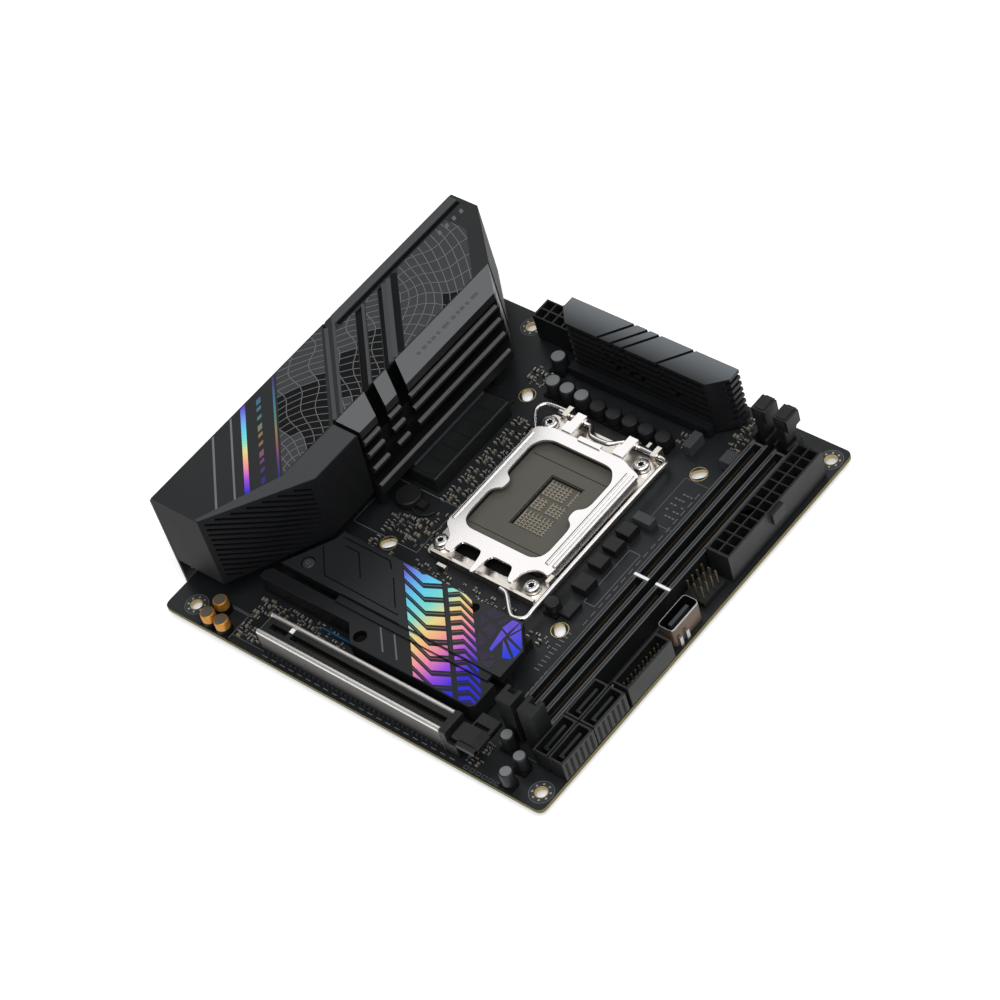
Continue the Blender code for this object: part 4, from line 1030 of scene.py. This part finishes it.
def make_tall_heatsink():
    def pick(c, n):
        if n.z > 0.9 and c.z > TOWER_TOP - 0.1:
            return 1
        # Painted shade: the faces between the fins, the channels' slanted walls and the upward faces above 29 mm are
        # drawn deep black.
        fin_gap_shade = c.z > 15.8 and c.x > 40.0 and (abs(n.z) > 0.9 or (n.x > 0.9 and c.x < 41.0))
        channel_shade = c.z > 29.8 and abs(n.y) > 0.5 and abs(n.x) > 0.5
        return 2 if fin_gap_shade or channel_shade or (n.z > 0.9 and c.z > 29.0) else 0

    def edit(point):
        x, y, z = SINK_CHANNELS(point)
        return (x, y, z - 0.06 if z > TOWER_TOP - 0.02 else z)
    deeper = Shape()
    for near, far in ((82.9, 79.2), (94.2, 90.1)):
        deeper.slab([(38.5, near), (45.0, far), (45.0, far + 5.0), (38.5, near + 5.0)], 22.7, 30.4)
    from_cad("vrm_heatsink_left", [ANODISED, PANEL, BLACK], "anodised", bevel=0.1, pick=pick, edit=edit,
             cut=deeper)
    edges = Shape()
    for top in FIN_TOPS:
        for run in FIN_RUNS if top > 20 else ((FIN_RUNS[0][0], FIN_RUNS[-1][1]),):
            edges.loft([[(x, y, top + dz) for x, dz in FIN_EDGE] for y in run])
    edges.done("fin_edges", [CUT_EDGE], "anodised", smooth=60)


def make_tower_trim():
    """The rim, ledges and ribs on the tower's tops."""
    trim = Shape()
    trim.slab([(-1.3, 107.6), (2.5, 103.9), (2.5, 172.6), (-1.3, 172.6)], PRINT_FOOT, TOWER_TOP)
    trim.draw([(1.0, 102.2), (32.6, 71.4)], 1.5, PRINT_FOOT, PLAIN_TOP + 0.22)
    trim.draw([(1.4, 105.8), (33.0, 74.6)], 1.1, PRINT_FOOT, PLAIN_TOP + 0.22)
    for total, wide, index, rise in ((122.5, 1.1, 0, 0.12), (133.8, 1.7, 2, 0.12), (136.2, 1.7, 0, 0.12),
                                     (139.2, 2.4, 3, 0.04)):
        trim.draw([(5.2, total - 5.2), (32.6, total - 32.6)], wide, PRINT_FOOT, PLAIN_TOP + rise, index)
    for k in range(4):
        y = 156.8 + k * 4.0
        trim.slab([(6.6, y), (8.4, y - 0.8), (8.4, y + 0.6), (6.6, y + 1.4)],
                  PRINT_FOOT, PLAIN_TOP + 0.1, 1)
    for k in range(13):
        y = 108.0 + k * 2.6 + (k % 3) * 0.3
        end = y + 1.3 + 0.5 * (k % 2)
        trim.slab(rectangle((38.2, 39.6), (y, end))[:4], TOWER_TOP - 0.3, TOWER_TOP - 0.02, 4)
    trim.done("tower_trim", [RIDGE, PANEL, BAND_GREY, BLACK, SMUDGE], "cover_grey")
    band = Shape()
    band.slab([(19.2, 13.9), (20.5, 13.8), (44.1, 48.1), (44.1, 69.3), (33.6, 69.3), (33.2, 43.4)],
              PRINT_FOOT, TOWER_TOP)
    band.done("tower_band", [BAND_GREY], "anodised", bevel=0.12)


FRONT_COVER = [(1, 1, 101.6), (-1, 0, 0.9), (0, -1, -14.2), (1, 0, 32.8), (1.325, -1, 11.9)]


def make_tower_stripes():
    """Generic stripes and bars printed across the front cover, cut to its outline."""
    stripes = Shape()
    bars = [(stroke([(-2.0, total + 2.0), (36.0, total - 36.0)], wide)[0], 0.06, index)
            for total, wide, index in ((59.2, 1.75, 0), (75.0, 0.8, 1), (53.0, 0.7, 2), (43.8, 0.75, 2))]
    for k in range(11):
        x = 1.4 + k * 2.9
        end = x + (1.1 if k % 3 else 1.9)
        bars.append(([(x, 66.1 - x), (end, 66.1 - end), (end, 68.3 - end), (x, 68.3 - x)], 0.05, 1))
    for bar, rise, index in bars:
        clipped = clip(bar, FRONT_COVER)
        if clipped:
            stripes.slab(clipped, PRINT_FOOT, PLAIN_TOP + rise, index)
    stripes.done("tower_stripes", [STRIPE, STRIPE_DIM, WEB], "cover_grey")


# (outline, the middle of the net's rings, share of dark cells) of the four printed fields
NET_FIELDS = (([(1, 1, 101.0), (-1, -1, -76.6), (-1, 0, 0.9), (1, 0, 32.8)], (52.0, 46.0), 0.3),
              ([(1, 1, 118.2), (-1, -1, -107.4), (-1, 0, -5.0), (1, 0, 32.6)], (52.0, 66.0), -0.4),
              ([(1, 1, 130.2), (-1, -1, -123.8), (-1, 0, -5.0), (1, 0, 32.6)], (52.0, 76.0), -0.6),
              ([(1, 1, 178.0), (-1, -1, -141.2), (-1, 0, -5.0), (1, 0, 32.6), (0, 1, 163.0)],
               (-6.0, 104.0), -1.1))
NET_RAYS, NET_RINGS = 50, 22


def net_knot(hub, ray, ring):
    turn = radians(7.2 * ray + 1.6 * sin(0.9 * ring))
    reach = 12 + 3.0 * ring + 0.9 * sin(0.85 * ray + 0.35 * ring)
    return (hub[0] + reach * cos(turn), hub[1] + reach * sin(turn))


def make_tower_net():
    """A warped net printed on the covers, with some of its cells dark."""
    net = Shape()
    for sides, hub, level in NET_FIELDS:
        for i in range(NET_RAYS):
            for k in range(NET_RINGS):
                here, out = net_knot(hub, i, k), net_knot(hub, i, k + 1)
                side, far = net_knot(hub, i + 1, k), net_knot(hub, i + 1, k + 1)
                clipped = clip([here, out, far, side], sides)
                if not clipped or area(clipped) < 0.2:
                    continue
                dark = sin(0.55 * i + 0.2 * k) + sin(0.35 * k - 0.3 * i + 1.0) < level
                net.slab(clipped, PLAIN_TOP - 0.03, PLAIN_TOP + 0.03, 2 if dark else 1)
                for quad in stroke([out, here, side], 0.24):
                    thread = clip(quad, sides)
                    if thread and area(thread) > 0.02:
                        net.slab(thread, PLAIN_TOP - 0.03, PLAIN_TOP + 0.09, 0)
    net.done("tower_net", [WEB, VEIL, BLACK], "cover_grey")


def make_top_heatsink():
    slots = Shape()
    reach = 9.4
    for x in (85.5, 91.5, 96.5, 111.5):
        slots.slab([(x - 0.6, 166.0), (x + 0.8, 166.0), (x - reach + 0.8, 153.4), (x - reach - 0.6, 153.4)],
                   22.2, 28.0)
    for start in (78.4, 84.4, 89.4, 104.6):
        for level in range(4):
            x, z = start + 1.7 * level, 19.6 - level * 2.7
            slots.box((x - 1.5, x + 0.7), (153.0, 157.8), (z, z + 3.0))
    for level in range(7):
        z = 6.6 + level * 2.9
        slots.box((128.4, 131.0), (158.2, 166.0), (z, z + 1.5))

    def pick(c, n):
        if n.z > 0.9 and c.z > 26.9:
            return 1
        return 2 if c.z < 6.9 and c.y < 156 and n.z > 0.5 else 0
    from_cad("vrm_heatsink_top", [ANODISED, SINK_TOP, WALL], "anodised", bevel=0.16, pick=pick, cut=slots)


def make_pads_and_choke_cover():
    for node in ("vrm_pad_left", "vrm_pad_top", "m2_pad"):
        from_cad(node, [PAD], "thermal_pad", bevel=0.1)
    from_cad("choke_bank", [EPOXY], "chip", bevel=0.3)
    rim = Shape()
    rim.box((53.6, 54.0), (86.6, 127.2), (8.5, 8.8))
    for k in range(6):
        rim.box((45.0, 53.0), (87.6 + k * 6.6, 92.8 + k * 6.6), (8.6, 8.95), 1)
    rim.done("choke_cover_rim", [RIDGE, EPOXY], "chip")
    cell = Shape()
    cell.turned(46.6, 79.0, [(4.3, 1.9), (4.75, 2.4), (4.75, 4.8), (4.3, 5.3)], 0, 40)
    cell.turned(46.6, 79.0, [(3.2, 5.25), (3.1, 5.45)], 0, 40)
    cell.box((50.6, 54.6), (77.4, 80.6), (1.9, 3.6), 1)
    cell.done("battery_in_sleeve", [RUBBER, PLASTIC], "battery_sleeve", smooth=40,
              replaces=("cmos_battery",))
    wire("battery_lead_red", [(50.4, 76.2, 2.4), (54.0, 74.8, 2.2), (57.4, 76.8, 2.2), (58.4, 79.0, 2.3)],
         0.42, LEAD, "battery_sleeve")


# ---------------------------------------------------------------- drive bay

LIP_TOP = 11.3                 # the strip that bridges the drive cover and the chipset's heatsink
# (outline, top) of the three surfaces that carry the printed band
BAND_SURFACES = (([(0, -1, -30.6), (0, 1, 51.2), (1, 0, 130.6), (6.6, 6.0, 1116.9)], 12.0),
                 ([(0, -1, -27.4), (0, 1, 30.6), (1, 0, 128.0), (-1, 0, -86.0)], LIP_TOP),
                 ([(0, -1, -16.7), (0, 1, 27.4), (1, 0, 129.7)], 10.6))
BLUE_FACETS = ([(119.6, 50.6), (122.4, 50.9), (121.6, 45.4), (118.6, 46.4)],
               [(122.8, 50.9), (124.4, 49.3), (122.6, 45.0)], [(124.9, 48.8), (130.3, 42.6), (123.2, 44.6)],
               [(130.2, 41.8), (130.2, 38.6), (122.8, 43.6)],
               [(121.8, 44.6), (119.0, 45.6), (120.4, 37.4), (121.6, 37.0)],
               [(129.6, 37.9), (126.6, 36.6), (122.2, 42.6)])
VIOLET_FACETS = ([(110.8, 50.8), (116.4, 50.8), (114.4, 47.6), (109.4, 48.4)],
                 [(117.4, 50.4), (118.8, 49.6), (117.4, 46.6), (115.6, 47.4)],
                 [(108.2, 47.4), (112.6, 46.8), (112.0, 43.4)],
                 [(113.6, 46.2), (117.8, 44.8), (118.4, 40.4), (113.0, 42.6)],
                 [(119.4, 36.2), (124.6, 36.0), (121.2, 32.6), (116.8, 35.0)],
                 [(112.6, 41.4), (118.6, 39.0), (116.0, 36.0)], [(120.6, 31.9), (125.6, 34.9), (125.4, 30.8)])


def make_drive_bay():
    engraved = Shape()
    for points in ([(41.0, 43.0), (50.0, 33.5), (84.0, 33.0)], [(45.0, 49.6), (66.0, 49.6), (69.0, 47.0)],
                   [(72.0, 44.5), (81.0, 35.0)], [(48.0, 47.0), (54.0, 47.0), (62.0, 38.6)]):
        engraved.draw(points, 0.45, 11.6, 13.0)
    engraved.turned(104.8, 48.3, [(1.9, 9.8), (1.9, 13.0)])

    # Painted shade: every upward face below the top, such as the floors of the engraved lines and the screw hole, is
    # drawn deep black.
    def cover_pick(c, n):
        if n.z > 0.9 and c.z > 11.9:
            return 1
        return 2 if n.z > 0.9 and c.z > 9.0 else 0
    from_cad("m2_cover", [ANODISED, BAY_TOP_GREY, BLACK], "anodised", bevel=0.25, pick=cover_pick,
             cut=engraved)
    hole_x, hole_y = 77.2, 20.4
    hole = Shape()
    hole.turned(hole_x, hole_y, [(2.3, 7.6), (2.3, 11.5)], 0, 28)
    # Painted shade: the screw hole's walls and floor are drawn deep black.
    from_cad("chipset_heatsink", [ANODISED, BLACK], "anodised", bevel=0.3, cut=hole,
             pick=lambda c, n: 1 if hypot(c.x - hole_x, c.y - hole_y) < 2.5 and c.z < 10.5 else 0)
    screw = Shape()
    screw.turned(41.0, 35.0, [(2.2, 10.9), (2.25, 11.5), (1.9, 11.85), (1.0, 11.95)], 0, 28)
    for turn in (0.6, 0.6 + pi / 2):
        screw.box((40.0, 42.0), (34.75, 35.25), (11.9, 12.0), 1, turn)
    screw.done("bay_screw", [RING_GREY, PORT_STEEL], "bright_steel", smooth=30, replaces=("m2_screw",))
    from_cad("m2_socket", bevel=0.12)
    from_cad("m2_standoff", [ROLLED], "bright_steel", bevel=0.1)
    from_cad("chipset", [EPOXY], "chip", bevel=0.08)
    pale = Shape()
    for points in ([(81.0, 26.8), (88.6, 19.2)], [(87.2, 26.8), (95.0, 19.0)]):
        pale.draw(points, 0.55, 10.55, 10.68)
    pale.done("bay_pale_lines", [PANEL], "anodised")
    make_bay_print()
    lip = Shape()
    lip.slab(rectangle((60.0, 127.6), (27.3, 30.7))[:4], 10.0, LIP_TOP)
    # Painted shadow: a thin black strip along the drive cover's front edge.
    lip.slab(rectangle((60.2, 86.6), (30.1, 30.5))[:4], 11.0, 12.02, 1)
    lip.done("bay_lip", [ANODISED, BLACK], "anodised")


def make_bay_print():
    """A generic band of chevrons in soap-film colours, with facets beside it."""
    printed, ground = Shape(), Shape()

    def lay(shape, polygon, index, rise):
        for sides, height in BAND_SURFACES:
            clipped = clip(polygon, sides)
            if clipped and area(clipped) > 0.03:
                shape.slab(clipped, height - 0.04, height + rise, index)

    def spot(s, w):
        """A point of the band: s along its slanted edge, w across it."""
        return (70.2 + 0.697 * s + w, 51.2 - 0.717 * s)

    def bar(start, length, across, shear, index):
        end = start + length
        lay(printed, [spot(start, across[0]), spot(start + shear, across[1]), spot(end + shear, across[1]),
                      spot(end, across[0])], index, 0.07)

    lay(ground, [spot(-1, 0), spot(-1, 18.4), spot(49, 18.4), spot(49, 0)], 0, 0.03)
    # each column: chevrons, first place, step, lean, bar length, thin line's place, the halves' ranges
    for count, first, step, lean, length, thin, left, right in (
            (9, -3.0, 6.1, 4.0, 3.7, 4.5, (0.5, 9.0), (9.0, 17.8)),
            (12, 1.4, 4.1, -3.0, 1.7, 2.3, (20.4, 25.6), (25.6, 31.0))):
        for k in range(count):
            peak = first + step * k + lean
            for across, start, shear in ((left, peak - lean, lean), (right, peak, -lean)):
                bar(start, length, across, shear, 0)
                bar(start + thin, 0.5, across, shear, 1)
    printed.done("bay_band", [SHEEN, SHEEN_DIM], "anodised")
    for facets, index in ((BLUE_FACETS, 1), (VIOLET_FACETS, 2)):
        for corners in facets:
            lay(ground, corners, index, 0.06)
    ground.done("bay_band_ground", [BAND_GROUND, DEEP_BLUE, VIOLET], "anodised")


# ---------------------------------------------------------------- rear ports

PORT_ROW = 7.4                 # the height of one row in a stack of ports
# (y range, z range) of the folds pressed round the openings of the port shield
SHIELD_FOLDS = (((109.6, 125.2), (1.0, 32.6)), ((127.4, 143.0), (1.0, 32.6)), ((87.0, 105.4), (1.0, 32.6)),
                ((149.4, 169.0), (1.0, 19.4)), ((71.0, 82.8), (1.0, 7.0)), ((16.4, 30.8), (1.0, 37.0)))


def make_port_stack(node, rows, tongue, start):
    """A stack of square ports, each with a tongue and four contacts."""
    from_cad(node, [PORT_STEEL], "port_steel", bevel=0.18)
    inner = Shape()
    for row in range(rows):
        z = 5.8 + row * PORT_ROW
        inner.box((-2.3, 6.8), (start + 1.5, start + 12.1), (z, z + 1.9))
        for k in range(4):
            y = start + 2.6 + k * 2.3
            inner.box((-2.0, 4.0), (y, y + 1.0), (z - 0.12, z), 1)
    inner.done(node + "_tongues", [tongue, GOLD], "black_plastic")


def make_ports():
    make_port_stack("usb_stack_1", 4, TONGUE_RED, node_box("usb_stack_1")[0].y)
    make_port_stack("usb_stack_2", 4, TONGUE_BLUE, node_box("usb_stack_2")[0].y)
    make_port_stack("lan_usb_stack", 2, TONGUE_BLUE, 89.4)
    for node, x, y, heights in (("video_stack", (-2.4, 6.6), (153.4, 165.0), ((4.78, 6.42), (12.98, 14.62))),
                                ("usb_c_port", (-2.4, 5.6), (73.6, 80.2), ((3.5, 4.4),))):
        from_cad(node, [PORT_STEEL], "port_steel", bevel=0.18)
        inner = Shape()
        for z in heights:
            inner.box(x, y, z)
        inner.done(node + "_tongues", [PLASTIC, GOLD], "black_plastic")
    lamps = Shape()
    for y in (90.6, 100.2):
        lamps.box((-3.55, -3.3), (y, y + 1.8), (28.9, 30.4))
    lamps.done("network_lamps", [LAMP_GREEN], "black_plastic")
    from_cad("antenna_block", [GOLD, DARK_STEEL], "antenna_brass", pick=lambda c, n: 0 if c.x < -1.5 else 1)
    threads = Shape()
    for z in (8.4, 20.6):
        for k in range(8):
            x = -8.6 + k * 0.7
            threads.turned(57.0, z, [(3.08, x), (3.3, x + 0.2), (3.08, x + 0.4)], along_x=True)
        threads.turned(57.0, z, [(0.5, -7.6), (0.5, -5.6)], 0, 12, along_x=True)
    threads.done("antenna_threads", [GOLD], "antenna_brass", smooth=30)
    from_cad("audio_jack_block", bevel=0.2)
    collars = Shape()
    for z in (8.0, 19.2, 30.4):
        collars.washer(23.6, z, 1.8, 3.1, -3.5, -3.1, steps=28, along_x=True)
    collars.done("audio_collars", [GOLD], "antenna_brass", smooth=30)
    from_cad("button_housing", bevel=0.2)
    for node in ("bios_flash_button", "clear_cmos_button"):
        from_cad(node, [BUTTON], "button_plastic", bevel=0.25)
    from_cad("io_shield", [DARK_STEEL], "dark_steel", bevel=0.12)
    from_cad("socket_backplate", [DARK_STEEL], "dark_steel", bevel=0.3)
    folds = Shape()
    for y_range, z_range in SHIELD_FOLDS:
        loop = rectangle(y_range, z_range)
        for (a, b), (c, d) in zip(loop, loop[1:]):
            folds.box((-3.05, -2.75), (min(a, c) - 0.12, max(a, c) + 0.12),
                      (min(b, d) - 0.12, max(b, d) + 0.12))
    # Black discs stand for vent holes: painted shade where the holes are.
    for k in range(14):
        folds.turned(38.0 + (k % 7) * 1.9, 33.0 + (k // 7) * 1.9, [(0.55, -2.95), (0.55, -2.75)], 1, 12, True)
    folds.done("shield_embossing", [DARK_STEEL, BLACK], "dark_steel")


# (first x, first y, rows, columns, pitch) of the plugs' and ports' solder joints
JOINT_GRIDS = ((4.0, 112.0, 5, 4, 2.5), (4.0, 130.0, 5, 4, 2.5), (4.0, 90.6, 6, 4, 2.3),
               (4.0, 152.4, 7, 4, 2.2), (2.0, 18.6, 5, 3, 2.6), (159.3, 93.4, 4, 3, 2.6),
               (165.7, 50.6, 10, 2, 2.0))


def make_underside():
    """Solder joints where the through-hole parts pass the board."""
    joints = Shape()

    def joint(x, y, radius):
        joints.turned(x, y, [(radius, 0.0), (radius * 0.8, -0.35), (radius * 0.3, -0.9)], 0, 8)
    for x, y, _ in power_pins():
        joint(x, y, 0.9)
    for side in (-1, 1):
        for middle in MEMORY_MIDDLES:
            for k in range(60):
                y = 26.5 + k * 2.1
                if not 85.6 < y < 89.2:
                    joint(middle + side * (1.0 if k % 2 else 1.9), y, 0.38)
        for k in range(39):
            joint(50.0 + k * 2.0, 7.75 + side * (1.2 if k % 2 else 2.2), 0.38)
    for x, y, rows, columns, pitch in JOINT_GRIDS:
        for row in range(rows):
            for column in range(columns):
                joint(x + column * pitch, y + row * pitch, 0.45)
    joints.done("solder_joints", [SOLDER], "port_steel", smooth=60)


# ---------------------------------------------------------------- stage

def area_light(name, place, size, power):
    """A square soft light that looks at the middle of the board."""
    lamp = bpy.data.lights.new(name, "AREA")
    lamp.shape = "RECTANGLE"
    lamp.size = lamp.size_y = size
    lamp.energy = power
    holder = bpy.data.objects.new(name, lamp)
    holder.location = place
    holder.rotation_mode = "QUATERNION"
    holder.rotation_quaternion = (-Vector(place)).to_track_quat("-Z", "Y")
    link(holder)


def make_stage():
    reach = 6.0
    low = cad_low.z - 0.0002
    mesh = bpy.data.meshes.new("floor")
    mesh.from_pydata([(x * reach, y * reach, low) for x, y in ((-1, -1), (1, -1), (1, 1), (-1, 1))], [],
                     [(0, 1, 2, 3)])
    mesh.materials.append(FLOOR)
    floor = bpy.data.objects.new("floor", mesh)
    link(floor)
    world = bpy.data.worlds.new("studio")
    world.use_nodes = True
    background = world.node_tree.nodes["Background"].inputs
    background["Color"].default_value = (1, 1, 1, 1)
    background["Strength"].default_value = 0.20
    bpy.context.scene.world = world
    area_light("mirror_box", (-0.68, 0.50, 0.92), 0.9, 2.5)
    area_light("front_top", (0.50, -0.38, 1.15), 1.2, 13.0)
    area_light("side_top", (0.55, 0.75, 0.95), 0.9, 4.0)
    bpy.context.scene.view_settings.view_transform = "Standard"


def make_camera():
    """The camera stands in front of the slots and looks down across the board."""
    right = Vector((0.752444, 0.620892, -0.219820))
    up = -Vector((0.365917, -0.671553, -0.644299))
    towards = Vector((-0.547661, 0.404363, -0.732502))
    eye = bpy.data.cameras.new("camera")
    eye.lens = 120.53
    eye.sensor_width = 36.0
    holder = bpy.data.objects.new("camera", eye)
    turn = Matrix((right, up, -towards)).transposed().to_4x4()
    holder.matrix_world = Matrix.Translation(at(700.744, -367.522, 838.782)) @ turn
    eye.clip_start, eye.clip_end = 0.05, 20.0
    link(holder)
    bpy.context.scene.camera = holder


def main():
    make_camera()
    make_stage()
    make_board()
    make_silkscreen()
    make_small_parts()
    make_capacitors()
    make_socket()
    make_clamp()
    make_lever()
    make_memory_slots()
    make_expansion_slot()
    make_plugs()
    make_tower()
    make_top_heatsink()
    make_pads_and_choke_cover()
    make_drive_bay()
    make_ports()
    make_underside()


main()
